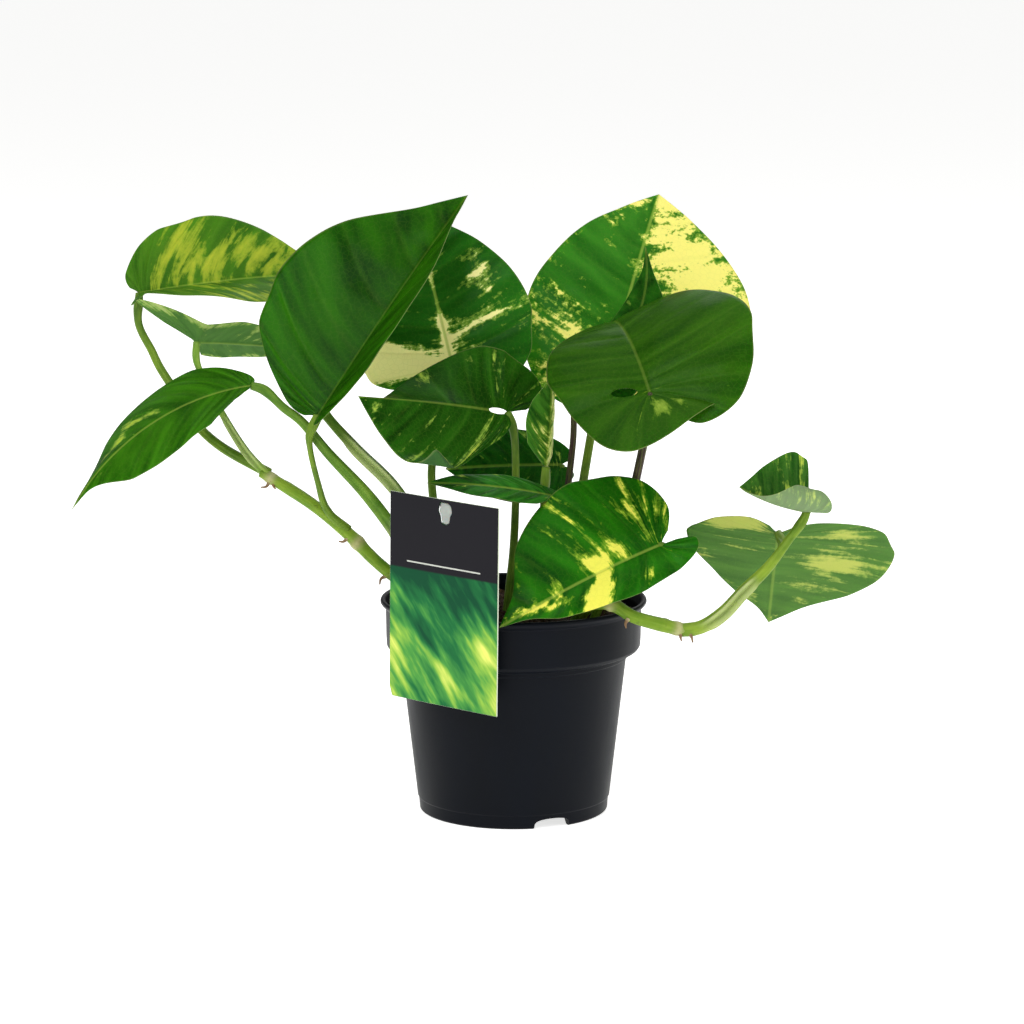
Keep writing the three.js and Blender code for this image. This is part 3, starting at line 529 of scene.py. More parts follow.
def margin_along(leaf, half, edge, u):
    """How far along the leaf its margin is. A belly ahead of the outline's own slides the margin towards the
    tip, in shares of what is left, and one behind it gathers the margin towards the base by a power. TURN
    rounds the change from the lobe's scale to the blade's."""
    belly = leaf["belly"][half]
    ahead = (edge + np.sqrt(edge**2 + TURN**2)) / (1 + math.sqrt(1 + TURN**2))
    lobe = (edge - ahead) * leaf["lobe"][half]
    if belly <= WIDEST:
        return lobe + ahead ** (math.log(belly) / math.log(WIDEST))
    slide = (belly - WIDEST) / (1 - WIDEST)
    return lobe + ahead + slide * (1 - ahead) * smooth(u * (len(MARGIN) - 1), 0, 3)


def half_blade(leaf, axes, half, u, r):
    """One half of a blade on a grid: u from the sinus to the tip, r from the midrib to the margin. A vein
    leaves the midrib at its start and bends forward to the margin by the power VEIN_BEND. The cross-section
    leaves at its fold and turns by its cup, step by step; the midrib is an arc. Returns the points, how far
    along the leaf each is and how far from the midrib, in millimetres."""
    last = len(MARGIN) - 1
    edge = spline(MARGIN, u * last)
    start = spline(np.array(VEIN_START)[:, None], u * last)
    along = margin_along(leaf, half, edge[..., 0], u)[:, None]
    s = start + (along - start) * r[None, :] ** VEIN_BEND
    closed = MARGIN[0][1]
    gape = leaf.get("gape", [closed, closed])[half] - closed
    share = (edge[:, 1] + gape * np.maximum(0, 1 - u * last))[:, None] * r[None, :]
    share = share * (1 - leaf.get("drip", 0) * smooth(along, 0.68, 0.9))
    fold = np.radians(leaf["fold"][half][0] + np.diff(leaf["fold"][half])[0] * np.clip(s, 0, 1))
    steps = (np.arange(SECTION_STEPS) + 0.5) / SECTION_STEPS
    turned = (steps * np.abs(share)[..., None]) ** leaf.get("curl", [1, 1])[half]
    turn = fold[..., None] + math.radians(leaf["cup"][half]) * turned
    stride = leaf["width"][half] * share / SECTION_STEPS
    out, lift = stride * np.cos(turn).sum(-1), stride * np.sin(turn).sum(-1)
    height, crests, phase = leaf["wave"]
    ripple = height * share**2 * np.sin(2 * math.pi * (crests * s + phase + half * 0.4))
    size = axes["radius"] * axes["bend"]
    heel = math.tan(math.radians(leaf.get("heel", (0, 0))[half])) * np.maximum(-s, 0) * size
    angle = axes["bend"] * (np.maximum(s, 0) - 0.5)
    forward = axes["radius"] * (np.sin(angle) + math.sin(axes["bend"] / 2))
    rise = axes["radius"] * (np.cos(angle) - math.cos(axes["bend"] / 2))
    behind = np.minimum(s, 0) * size
    ahead, up, side = axes["ahead"], axes["up"], axes["right"] * (1 if half else -1)
    lifted = lift + ripple + heel
    forward = forward + behind * np.cos(angle) + lifted * np.sin(angle)
    rise = rise - behind * np.sin(angle) + lifted * np.cos(angle)
    points = axes["base"] + forward[..., None] * ahead + rise[..., None] * up + out[..., None] * side
    return points, s, np.hypot(leaf["width"][half] * share, behind)


def leaf_blade(name, leaf, look, settings, material):
    """A blade as a closed sheet. The upper side sinks along the midrib and the veins and swells between them,
    the midrib stands out below as a rib, and the blade thins to its margin."""
    axes = leaf_frame(leaf)
    u = np.linspace(0, 1, settings.rows) ** 0.96
    r = np.linspace(0, 1, settings.columns) ** 1.15
    left, s_left, d_left = half_blade(leaf, axes, 0, u, r)
    right, s_right, d_right = half_blade(leaf, axes, 1, u, r)
    points = np.concatenate([left[:, :0:-1], right], axis=1)
    s = np.concatenate([s_left[:, :0:-1], s_right], axis=1)
    off = np.concatenate([d_left[:, :0:-1], d_right], axis=1)
    across = np.concatenate([-r[:0:-1], r])[None, :] * np.ones((len(u), 1))
    reach = np.abs(across)
    normals = grid_normals(points)
    normals[-2:] = normals[-3]
    if (normals * axes["up"]).sum() < 0:
        normals = -normals
    turn = u[:, None] * look.get("veins", 9) + 0.15 * np.sign(across)
    vein = bump(turn - np.round(turn), 0, 0.07) * smooth(reach, 0.02, 0.12) * (1 - smooth(reach, 0.75, 1))
    swell = np.sin(math.pi * turn) ** 2 * reach * (1 - reach) * 4 * smooth(off, 2, 8)
    tip = 1 - smooth(u, 0.93, 1)[:, None]
    relief = settings.relief / MM
    uneven = 0.35 * ripples(points, 28, look["seed"], 2) * smooth(off, 1, 8)
    upper = relief * (0.5 * swell - 0.3 * vein) - 0.45 * bump(off, 0, 0.9) + uneven
    rib = 0.75 * bump(off, 0, 1.0) * tip * (1.2 - u[:, None])
    lower = relief * (0.4 * swell - 0.15 * vein) - rib + uneven
    thick = settings.thickness / MM / 2 * (1 - 0.55 * reach**3) * np.maximum(tip, 0.15)
    upper = upper * tip + thick
    lower = lower * tip - thick
    sides = [points + normals * height[..., None] for height in (upper, lower)]
    rows, columns = points.shape[:2]
    count = rows * columns
    right_way = np.dot(np.cross(points[1, 1] - points[1, 0], points[2, 0] - points[1, 0]), normals[1, 0]) > 0
    top = quads(rows, columns)
    top = top if right_way else top[:, ::-1]
    below = top[:, ::-1] + count
    rim = np.concatenate([
        np.arange(columns), np.arange(1, rows) * columns + columns - 1,
        (rows - 1) * columns + np.arange(columns - 2, -1, -1), np.arange(rows - 2, 0, -1) * columns,
    ])
    after = np.roll(rim, -1)
    strip = np.stack([rim, rim + count, after + count, after], axis=-1)
    strip = strip if right_way else strip[:, ::-1]
    uv = np.stack([u[:, None] + 0 * across, (across + 1) / 2], axis=-1)
    pale = look["pale"] + 0 * off
    for at, over, du, da, strength in look.get("patches", []):
        pale = pale + strength * bump(u[:, None], at, du) * bump(across, over, da)
    values = {
        "pale": [pale, pale], "under": [0 * off, 0 * off + 1], "off": [off, off], "edge": [reach, reach],
    }
    return add_piece(
        name, np.stack(sides), np.concatenate([top, below, strip]), material,
        uv=np.stack([uv, uv]), values=values, slot="leaf", replaces=[name.removesuffix("_blade")], merge=2e-6,
    )


def tear_cutter(x, y, z, half_width, half_height, tip):
    """An oval bar that cuts a small tear through a blade, 14 mm long about a point, level from side to side
    and falling 9.75 degrees towards the back. `tip` turns the oval, in degrees."""
    around, half_length, fall = 40, 7, math.radians(9.75)
    ring = np.linspace(0, 2 * math.pi, around, endpoint=False)
    side, rise = rotated(half_width * np.cos(ring), half_height * np.sin(ring), math.radians(tip))
    face = np.stack([x + side, y + rise * math.sin(fall), z + rise * math.cos(fall)], axis=-1)
    depth = np.array([0, math.cos(fall), -math.sin(fall)]) * half_length
    return np.vstack([face - depth, face + depth]), tube_faces(2, around, flat=True, flip=True)


# ---------------------------------------------------------------- stems


def stem_tube(path, radius, settings, groove=0.0, joints=(), sheath=(), knuckle=None, sides=None):
    """A stem as a profile carried along a smooth path. Its radius follows a list from end to end, with a
    swollen ring at each joint and a knuckle where it meets a blade. The section is a circle with a groove
    along its upper side, and a sheath raises the groove's two edges into thin wings."""
    sides = sides or settings.sides
    _, total = path_points(path, 2)
    count = max(12, int(total / (settings.step / MM)))
    centre, total = path_points(path, count)
    share = np.linspace(0, 1, count)
    width = np.interp(share, np.linspace(0, 1, len(radius)), radius)
    ring = sum((bump(share, joint, 2.2 / total) for joint in joints), np.zeros(count))
    if knuckle is not None:
        width = width * (1 + 0.3 * bump(share * total, knuckle, 5.0))
    width = width * (1 + 0.2 * ring)
    tangent = unit(np.gradient(centre, axis=0))
    side = unit(np.cross(tangent, np.array([0.0, 1.0, 0.12])))
    over = np.cross(side, tangent)
    over = over * np.sign(over[:, 2:].sum() + 1e-9)
    side = np.cross(tangent, over)
    angle = np.linspace(0, 2 * math.pi, sides, endpoint=False)[None, :]
    wing = sum((smooth(share, a, a + 0.08) * (1 - smooth(share, b - 0.12, b)) for a, b in sheath), 0 * share)
    turned = np.angle(np.exp(1j * (angle - math.pi / 2)))
    edges = bump(turned, 0.62, 0.22) + bump(turned, -0.62, 0.22)
    section = 1 - groove * bump(turned, 0, 0.5) + 0.015 * np.cos(7 * angle)
    reach = width[:, None] * (section + wing[:, None] * (0.55 * edges - 0.35 * bump(turned, 0, 0.35)))
    points = centre[:, None] + reach[..., None] * (
        np.cos(angle)[..., None] * side[:, None] + np.sin(angle)[..., None] * over[:, None]
    )
    caps = [centre[0] - tangent[0] * width[0] * 0.3, centre[-1] + tangent[-1] * width[-1] * 0.3]
    face_normal = np.cross(points[0, 1] - points[0, 0], points[1, 0] - points[0, 0])
    outwards = np.dot(face_normal, points[0, 0] - centre[0])
    full = np.ones((1, sides))
    along = (share * total)[:, None] * full
    around = (angle / (2 * math.pi)) * np.ones((count, 1))
    uv = np.concatenate([np.stack([along, around], axis=-1).reshape(-1, 2), [[0, 0], [total, 0]]])
    values = {
        "joint": np.append((ring[:, None] * full).ravel(), [0, 0]),
        "wing": np.append((wing[:, None] * (edges + 0.6 * bump(turned, 0, 0.5))).ravel(), [0, 0]),
        "share": np.append((share[:, None] * full).ravel(), [0, 1]),
    }
    points = np.concatenate([points.reshape(-1, 3), caps])
    return dict(points=points, faces=tube_faces(count, sides, flip=outwards < 0), uv=uv, values=values)


# ---------------------------------------------------------------- materials

# Settings that a kind of node has here unless it is given others.
USUAL = {"Mix": {"data_type": "RGBA"}}


def add(tree, kind, inputs=None, **settings):
    """Adds a shader node with its settings. An input is named, or numbered where names repeat, and is given a
    value, a socket, or a node, which stands for its first output in use."""
    node = tree.nodes.new("ShaderNode" + kind)
    for key, value in {**USUAL.get(kind, {}), **settings}.items():
        setattr(node, key, value)
    for key, value in (inputs or {}).items():
        if isinstance(key, int):
            socket = node.inputs[key]
        else:
            socket = next(s for s in node.inputs if s.name == key and s.enabled)
        if isinstance(value, bpy.types.Node):
            value = next(s for s in value.outputs if s.enabled)
        if isinstance(value, bpy.types.NodeSocket):
            tree.links.new(value, socket)
        elif socket.type == "RGBA":
            socket.default_value = (*value[:3], 1)
        else:
            socket.default_value = value
    return node


def new_material(name):
    """An empty node material with its output, and the material's tree."""
    material = bpy.data.materials.new(name)
    material.use_nodes = True
    material.node_tree.nodes.clear()
    return material, material.node_tree


def finish_material(tree, **inputs):
    """Ends a tree in a Principled shader. Underscores in the inputs' names stand for spaces."""
    shader = add(tree, "BsdfPrincipled", {key.replace("_", " "): value for key, value in inputs.items()})
    add(tree, "OutputMaterial", {"Surface": shader})


def leaf_material(name, look, leaves):
    """A waxy living leaf. Dark green, with cream and yellow-green patches that run out along the side veins
    in feathered streaks and flecks, as each patch is a line of pale cells that grew outwards with the blade.
    The wax gives a soft gloss on the upper side; the underside is greyer and matt. The UV map runs with the
    veins: U from the sinus to the tip and V across, and attributes give how pale a place is, how far it is
    from the midrib in millimetres, how near the margin it is, and which side it is."""
    material, tree = new_material(name)
    seed = look["seed"]
    uv = add(tree, "UVMap", uv_map="UVMap")
    place = add(tree, "TexCoord").outputs["Object"]
    pale, under, off, edge = (
        add(tree, "Attribute", attribute_name=key).outputs["Fac"] for key in ("pale", "under", "off", "edge")
    )
    # a streak is some 3 mm wide and 15 to 30 mm long on a blade of 100 x 60 mm, a blotch 20 mm, a fleck 2 mm
    streaky, broad = (
        add(tree, "Mapping", {"Vector": uv, "Location": (seed * right, seed * up, 0), "Scale": scale})
        for right, up, scale in ((3.1, 1.7, (26, 2.6, 1)), (5.3, 2.9, (7, 2.4, 1)))
    )
    streak = add(
        tree, "TexNoise", {"Vector": streaky, "Scale": 1, "Detail": 5, "Roughness": 0.62, "Distortion": 0.35}
    )
    blotch = add(tree, "TexNoise", {"Vector": broad, "Scale": 1})
    fleck = add(tree, "TexNoise", {"Vector": place, "Scale": 420, "Detail": 3, "Roughness": 0.65})
    # each noise has a mean of 0.5, so their sum less half their weights lies about `pale`, and is cream past
    # 0.5
    patches = ((streak, 2.0), (blotch, 1.5), (fleck, look.get("flecked", 0.6)))
    band = add(tree, "Math", {0: pale, 1: -0.5 * sum(weight for _, weight in patches)})
    for noise, weight in patches:
        band = add(tree, "Math", {0: noise, 1: weight, 2: band}, operation="MULTIPLY_ADD")
    shade = add(tree, "TexNoise", {"Vector": streaky, "Scale": 0.8})
    shade = add(tree, "MapRange", {"Value": shade, "From Min": 0.32, "From Max": 0.68})
    tone = add(tree, "Mix", {"Factor": shade, "A": linear(look["dark"]), "B": linear(look["green"])})
    wash = add(tree, "MapRange", {"Value": band, "From Min": 0.22, "From Max": 0.46, "To Max": 0.85})
    soft = look.get("soft", 0.07)
    full = add(tree, "MapRange", {"Value": band, "From Min": 0.5 - soft, "From Max": 0.5 + soft})
    # side veins, every ninth of the length for most leaves, sunk and a little lighter, set off by a third
    # of a step on the right of the midrib; between them lies a net of 2 mm fields
    split = add(tree, "SeparateXYZ", {"Vector": uv})
    side = add(tree, "Math", {0: split.outputs["Y"], 1: 0.5}, operation="GREATER_THAN")
    along = split.outputs["X"]
    run = add(tree, "Math", {0: along, 1: look.get("veins", 9), 2: -0.15}, operation="MULTIPLY_ADD")
    run = add(tree, "Math", {0: side, 1: 0.3, 2: run}, operation="MULTIPLY_ADD")
    near = add(tree, "Math", {0: run, 1: 0.5}, operation="PINGPONG")
    vein = add(tree, "MapRange", {"Value": near, "From Max": 0.09, "To Min": 1, "To Max": 0})
    net = add(
        tree, "TexVoronoi", {"Vector": place, "Scale": 420, "Randomness": 0.9}, feature="DISTANCE_TO_EDGE"
    )
    net = add(tree, "MapRange", {"Value": net, "From Max": 0.09, "To Min": 1, "To Max": 0})
    veined = add(tree, "Math", {0: vein, 1: 0.06}, operation="MULTIPLY")
    veined = add(tree, "Math", {0: net, 1: 0.07, 2: veined}, operation="MULTIPLY_ADD")
    palest = look.get("rib", 0.4)
    rib = add(
        tree, "MapRange", {"Value": off, "From Min": 0.2, "From Max": 1.05, "To Min": palest, "To Max": 0},
        interpolation_type="SMOOTHSTEP",
    )
    rim = add(tree, "MapRange", {"Value": edge, "From Min": 0.985, "To Max": 0.25})
    for factor, over in (
        (wash, linear(look["halo"]) if "halo" in look else leaves.halo),
        (full, linear(look["cream"]) if "cream" in look else leaves.cream),
        (veined, linear("#6f9a34")), (rib, linear("#9db54a")), (rim, linear("#b7bd74")),
    ):
        tone = add(tree, "Mix", {"Factor": factor, "A": tone, "B": over})
    below = add(tree, "Mix", {"Factor": 0.34, "A": tone, "B": linear(look.get("below", "#7f9470"))})
    tone = add(tree, "Mix", {"Factor": under, "A": tone, "B": below})
    grain = add(tree, "TexNoise", {"Vector": place, "Scale": 900})
    wax = add(tree, "MapRange", {"Value": grain, "To Min": 0.27, "To Max": 0.43})
    rough = add(tree, "Mix", {"Factor": under, "A": wax, "B": 0.62}, data_type="FLOAT")
    height = 0.0
    for part, share in ((net, -0.35), (vein, -0.6), (grain, 0.3)):
        height = add(tree, "Math", {0: part, 1: share, 2: height}, operation="MULTIPLY_ADD")
    bumps = add(tree, "Bump", {"Strength": 0.3, "Distance": 0.0003, "Height": height})
    finish_material(
        tree, Base_Color=tone, Roughness=rough, Normal=bumps, IOR=1.45, Specular_IOR_Level=0.02,
        Coat_Weight=0.03, Coat_Roughness=0.15,
        Subsurface_Weight=0.1, Subsurface_Scale=0.002, Subsurface_Radius=(0.4, 1.0, 0.15),
    )
    return material


def stem_material(name, colours, stems):
    """A fleshy green stem, ribbed along its length, whose sheaths and joints dry to a cream, papery skin."""
    material, tree = new_material(name)
    uv = add(tree, "UVMap", uv_map="UVMap")
    place = add(tree, "TexCoord").outputs["Object"]
    joint, wing = (add(tree, "Attribute", attribute_name=key).outputs["Fac"] for key in ("joint", "wing"))
    # U is millimetres along the stem and V goes once round it: fibres 0.6 mm apart and 12 mm long
    fibre_map = add(tree, "Mapping", {"Vector": uv, "Scale": (0.08, 16, 1)})
    mottle_map = add(tree, "Mapping", {"Vector": uv, "Scale": (0.05, 1.2, 1)})
    fibre = add(tree, "TexNoise", {"Vector": fibre_map, "Scale": 1, "Detail": 3})
    mottle = add(tree, "TexNoise", {"Vector": mottle_map, "Scale": 1, "Detail": 3, "Roughness": 0.6})
    dotted = add(tree, "TexNoise", {"Vector": place, "Scale": 260})
    mottled = add(tree, "MapRange", {"Value": mottle, "From Min": 0.36, "From Max": 0.64})
    lines = add(tree, "MapRange", {"Value": fibre, "From Min": 0.42, "From Max": 0.75, "To Max": 0.25})
    dots = add(tree, "MapRange", {"Value": dotted, "From Min": 0.64, "From Max": 0.72, "To Max": 0.4})
    papery = add(tree, "Math", {0: wing, 1: 0.5}, operation="MULTIPLY")
    ringed = add(tree, "Math", {0: joint, 1: 0.75}, operation="MULTIPLY")
    ring = add(tree, "Mix", {"Factor": dotted, "A": linear("#8a7a45"), "B": linear("#d8d3a4")})
    tone = add(tree, "Mix", {"Factor": mottled, "A": linear(colours[0]), "B": linear(colours[1])})
    for factor, over in (
        (lines, stems.stripe), (dots, linear("#4c5a26")), (papery, stems.sheath), (ringed, ring),
    ):
        tone = add(tree, "Mix", {"Factor": factor, "A": tone, "B": over})
    height = add(tree, "Math", {0: dotted, 1: 0.4, 2: fibre}, operation="MULTIPLY_ADD")
    bumps = add(tree, "Bump", {"Strength": 0.35, "Distance": 0.0003, "Height": height})
    rough = add(tree, "MapRange", {"Value": mottle, "To Min": 0.34, "To Max": 0.6})
    finish_material(
        tree, Base_Color=tone, Roughness=rough, Normal=bumps, IOR=1.45, Specular_IOR_Level=0.2,
        Subsurface_Weight=0.1, Subsurface_Scale=0.002, Subsurface_Radius=(0.5, 1.0, 0.2),
    )
    return material


def root_material():
    """An aerial root: brown, corky and matt, paler where it is still growing."""
    material, tree = new_material("Dry corky root")
    place = add(tree, "TexCoord").outputs["Object"]
    share = add(tree, "Attribute", attribute_name="share").outputs["Fac"]
    cork = add(tree, "TexNoise", {"Vector": place, "Scale": 500, "Detail": 4, "Roughness": 0.65})
    tone = add(tree, "Mix", {"Factor": cork, "A": linear("#4a3220"), "B": linear("#a3825a")})
    young = add(tree, "MapRange", {"Value": share, "From Max": 0.35, "To Min": 0.7, "To Max": 0})
    tone = add(tree, "Mix", {"Factor": young, "A": tone, "B": linear("#c9c690")})
    bumps = add(tree, "Bump", {"Strength": 0.6, "Distance": 0.0004, "Height": cork})
    finish_material(tree, Base_Color=tone, Roughness=0.85, Normal=bumps)
    return material


def soil_material(soil):
    """Damp peat potting soil: dark brown, crumbly and matt, with lighter fibres and bits of bark."""
    material, tree = new_material("Peat potting soil")
    place = add(tree, "TexCoord").outputs["Object"]
    # crumbs of 2 to 5 mm and grains of half a millimetre
    crumb = add(tree, "TexNoise", {"Vector": place, "Scale": 330, "Detail": 6, "Roughness": 0.7})
    grain = add(tree, "TexVoronoi", {"Vector": place, "Scale": 900})
    spread = add(tree, "MapRange", {"Value": crumb, "From Min": 0.35, "From Max": 0.7})
    bark = add(
        tree, "MapRange", {"Value": grain.outputs["Color"], "From Min": 0.8, "From Max": 0.95, "To Max": 0.6}
    )
    tone = add(tree, "Mix", {"Factor": spread, "A": soil.dark, "B": soil.light})
    tone = add(tree, "Mix", {"Factor": bark, "A": tone, "B": linear("#6d4f33")})
    height = add(tree, "Math", {0: grain, 1: 0.5, 2: crumb}, operation="MULTIPLY_ADD")
    bumps = add(tree, "Bump", {"Strength": 0.9, "Distance": 0.0012, "Height": height})
    finish_material(tree, Base_Color=tone, Roughness=0.95, Normal=bumps, Specular_IOR_Level=0.2)
    return material


def pot_material(pot):
    """Injection-moulded black polypropylene, a nursery pot's: satin, faintly blue where it catches the light,
    with the fine spark-eroded texture of its mould, and a little dust and handling wear in the gloss."""
    material, tree = new_material("Black moulded polypropylene")
    place = add(tree, "TexCoord").outputs["Object"]
    # the mould's texture is about 0.15 mm, drawn at 0.5 mm to show; flow marks are some 20 mm across
    texture = add(tree, "TexNoise", {"Vector": place, "Scale": 2000, "Roughness": 0.6})
    marks_map = add(tree, "Mapping", {"Vector": place, "Scale": (45, 45, 12)})
    marks = add(tree, "TexNoise", {"Vector": marks_map, "Scale": 1, "Detail": 4, "Roughness": 0.6})
    dust = add(tree, "TexNoise", {"Vector": place, "Scale": 700, "Detail": 5, "Roughness": 0.7})
    tone = add(tree, "Mix", {"Factor": marks, "A": pot.colour, "B": linear("#0a0f18")})
    dusty = add(tree, "MapRange", {"Value": dust, "From Min": 0.68, "From Max": 0.8, "To Max": 0.22})
    tone = add(tree, "Mix", {"Factor": dusty, "A": tone, "B": linear("#3a3e44")})
    rough = add(
        tree, "MapRange", {"Value": marks, "From Min": 0.3, "From Max": 0.7, "To Min": 0.36, "To Max": 0.5}
    )
    bumps = add(tree, "Bump", {"Strength": 0.25, "Distance": 0.0001, "Height": texture})
    finish_material(tree, Base_Color=tone, Roughness=rough, Normal=bumps, IOR=1.49, Specular_IOR_Level=0.09)
    return material


def card_material(label):
    """Offset-printed and film-laminated board. The print is generic: a charcoal head over soft green foliage
    with light flecks and a thin rule. The film gives an even gloss; the cut edges show the white board. The
    UV map is the card's face; the attribute `face` is 1 on the front, 0.5 on the back and 0 at the edge."""
    material, tree = new_material("Printed laminated board")
    uv = add(tree, "UVMap", uv_map="UVMap")
    face = add(tree, "Attribute", attribute_name="face").outputs["Fac"]
    split = add(tree, "SeparateXYZ", {"Vector": uv})
    across, up = split.outputs["X"], split.outputs["Y"]
    # out-of-focus foliage: slanting leaves some 20 mm wide on a card of 59 x 92 mm, each with soft light
    # streaks 2 mm wide that run along it, deeper green towards the head
    tilt = (0, 0, math.radians(52))
    slant = add(tree, "Mapping", {"Vector": uv, "Rotation": tilt, "Scale": (1.0, 1.55, 1)})
    blades = add(tree, "TexVoronoi", {"Vector": slant, "Scale": 2.3, "Smoothness": 0.35}, feature="SMOOTH_F1")
    streak_map = add(tree, "Mapping", {"Vector": slant, "Scale": (2.2, 10, 1), "Location": (3.1, 7.4, 0)})
    streaks = add(tree, "TexNoise", {"Vector": streak_map, "Scale": 1, "Detail": 3})
    light = add(
        tree, "MapRange", {"Value": up, "From Min": 0.64, "From Max": 0.2, "To Min": -0.36, "To Max": 0.14}
    )
    for part, share in ((streaks, 1.25), (blades, -0.55)):
        light = add(tree, "Math", {0: part, 1: share, 2: light}, operation="MULTIPLY_ADD")
    foliage = add(tree, "ValToRGB", {"Fac": light})
    stops = foliage.color_ramp.elements
    stops[0].position, stops[0].color = 0.0, (*linear("#0c4a2e"), 1)
    stops[1].position, stops[1].color = 0.78, (*linear("#e9ef74"), 1)
    for position, tone in ((0.22, "#1f6e3a"), (0.4, "#4f9a44"), (0.55, "#93c14a")):
        stops.new(position).color = (*linear(tone), 1)
    # the head's edge is some 0.7 mm soft, and the rule on it is 0.6 mm thick, over two thirds of the width
    edge = 0.004
    head = add(tree, "MapRange", {"Value": up, "From Min": label.head - edge, "From Max": label.head + edge})
    rule = add(tree, "Math", {0: up, 1: label.head + 0.035, 2: 0.0035}, operation="COMPARE")
    inside = add(tree, "Math", {0: across, 1: 0.5, 2: 0.34}, operation="COMPARE")
    ruled = add(tree, "Math", {0: rule, 1: inside}, operation="MULTIPLY")
    ruled = add(tree, "Math", {0: ruled, 1: 0.8}, operation="MULTIPLY")
    back = add(tree, "Math", {0: face, 1: 0.75}, operation="LESS_THAN")
    cut = add(tree, "Math", {0: face, 1: 0.25}, operation="LESS_THAN")
    tone = foliage
    for factor, over in (
        (head, label.ink), (ruled, linear("#d9dcd2")), (back, linear("#31623a")), (cut, linear("#dfe6cf")),
    ):
        tone = add(tree, "Mix", {"Factor": factor, "A": tone, "B": over})
    # the board's own slight waviness, some 12 mm long, in the film's reflections
    place = add(tree, "TexCoord").outputs["Object"]
    waves = add(tree, "TexNoise", {"Vector": place, "Scale": 80})
    bumps = add(tree, "Bump", {"Strength": 0.12, "Distance": 0.0006, "Height": waves})
    rough = add(tree, "MapRange", {"Value": waves, "To Min": 0.26, "To Max": 0.4})
    finish_material(tree, Base_Color=tone, Roughness=rough, Normal=bumps, Specular_IOR_Level=0.08)
    return material


def stake_material(label):
    """Natural polypropylene, moulded and a little see-through: grey, part its milky tone, part painted shade;
    satin, with faint flow marks.
    """
    material, tree = new_material("Milky polypropylene with painted shade")
    place = add(tree, "TexCoord").outputs["Object"]
    marks = add(tree, "TexNoise", {"Vector": place, "Scale": 220, "Detail": 4, "Roughness": 0.6})
    # the stake's grey is partly the plastic's milky tone and partly painted shade, with lighter flow marks
    tone = add(tree, "Mix", {"Factor": marks, "A": label.stake, "B": linear("#b4bab3")})
    bumps = add(tree, "Bump", {"Strength": 0.2, "Distance": 0.0003, "Height": marks})
    rough = add(tree, "MapRange", {"Value": marks, "To Min": 0.3, "To Max": 0.55})
    finish_material(
        tree, Base_Color=tone, Roughness=rough, Normal=bumps, IOR=1.49, Subsurface_Weight=0.25,
        Subsurface_Scale=0.002,
    )
    return material


# ---------------------------------------------------------------- pot, soil and label


def rounded(profile, rounds=2):
    """The profile with each corner cut twice at a quarter of its edges, which tends to a smooth curve. Its
    first and last points stay."""
    for _ in range(rounds):
        start, end = profile[:-1], profile[1:]
        cut = np.stack([0.75 * start + 0.25 * end, 0.25 * start + 0.75 * end], axis=1).reshape(-1, 2)
        profile = np.vstack([profile[:1], cut[1:-1], profile[-1:]])
    return profile


def lathe(profile, segments):
    """A profile of (radius, height), from the axis round to the axis, turned about Z. The axis points are one
    vertex each, so the poles are closed."""
    angle = np.linspace(0, 2 * math.pi, segments, endpoint=False)[None, :]
    radius, height = profile[1:-1, :1], profile[1:-1, 1:]
    rings = np.stack([radius * np.cos(angle), radius * np.sin(angle), height + 0 * angle], axis=-1)
    poles = [[0, 0, profile[0][1]], [0, 0, profile[-1][1]]]
    return np.vstack([rings.reshape(-1, 3), poles]), tube_faces(len(rings), segments)


def held(profile, near):
    """The profile with two more points on each long edge, near its ends, so that rounding keeps to the
    corners."""
    parts = [profile[:1]]
    for start, end in zip(profile[:-1], profile[1:]):
        size = np.linalg.norm(end - start)
        shares = [near / size, 1 - near / size, 1] if size > 2 * near else [1]
        parts.append(start + (end - start) * np.array(shares)[:, None])
    return np.vstack(parts)


def densely(profile, step):
    """The profile with points added so that none are further apart than a step."""
    parts = [profile[:1]]
    for start, end in zip(profile[:-1], profile[1:]):
        count = max(1, math.ceil(np.linalg.norm(end - start) / step))
        parts.append(start + (end - start) * (np.arange(1, count + 1) / count)[:, None])
    return np.vstack(parts)


def pot_profile():
    """The wall of the pot from the pip under its floor, out over the foot, up the tapered wall, round the
    collar and lip, and down the inside."""
    pip, floor, wall = POT["pip"], POT["floor_under"], POT["wall"]
    foot, foot_step, foot_top = POT["foot_radius"], POT["foot_step"], POT["foot_height"]
    body, body_top = POT["body_top_radius"], POT["body_top"]
    band, band_bottom = POT["band_radius"], POT["band_bottom"]
    lip, top = POT["lip_radius"], POT["lip_top"]
    return np.array([
        [0, 0], [pip - 0.6, 0], [pip, 0.6], [pip + 1.2, floor], [foot - 5, floor], [foot - 3.6, 0.6],
        [foot - 3, 0], [foot - 0.8, 0], [foot - 0.1, 0.7], [foot + 0.3, foot_top - 0.4],
        [foot + 0.3 + foot_step, foot_top], [body, body_top], [body + 0.9, body_top + 0.3],
        [body + 1.1, body_top + 2.2], [body + 2.4, body_top + 2.6],
        [band - 1.2, (body_top + band_bottom) / 2], [band - 0.2, band_bottom - 2.2], [band, band_bottom + 2],
        [band + 0.2, top - 4.2], [lip - 0.8, top - 2.6],
        [lip, top - 1.6], [lip - 0.4, top - 0.4], [lip - 1.2, top], [lip - 2.4, top - 0.6],
        [band + 0.2 - wall, top - 4.8], [band - wall, band_bottom + 1], [body - wall + 0.6, body_top],
        [foot + 0.8 - wall, floor + wall + 1.2], [foot - 1.4 - wall, floor + wall], [0, floor + wall],
    ])


def cutter(points, faces, name):
    """A closed mesh to cut with, which isn't a piece."""
    tool = bpy.data.objects.new(name, new_mesh(name, points, faces))
    bpy.context.scene.collection.objects.link(tool)
    return tool


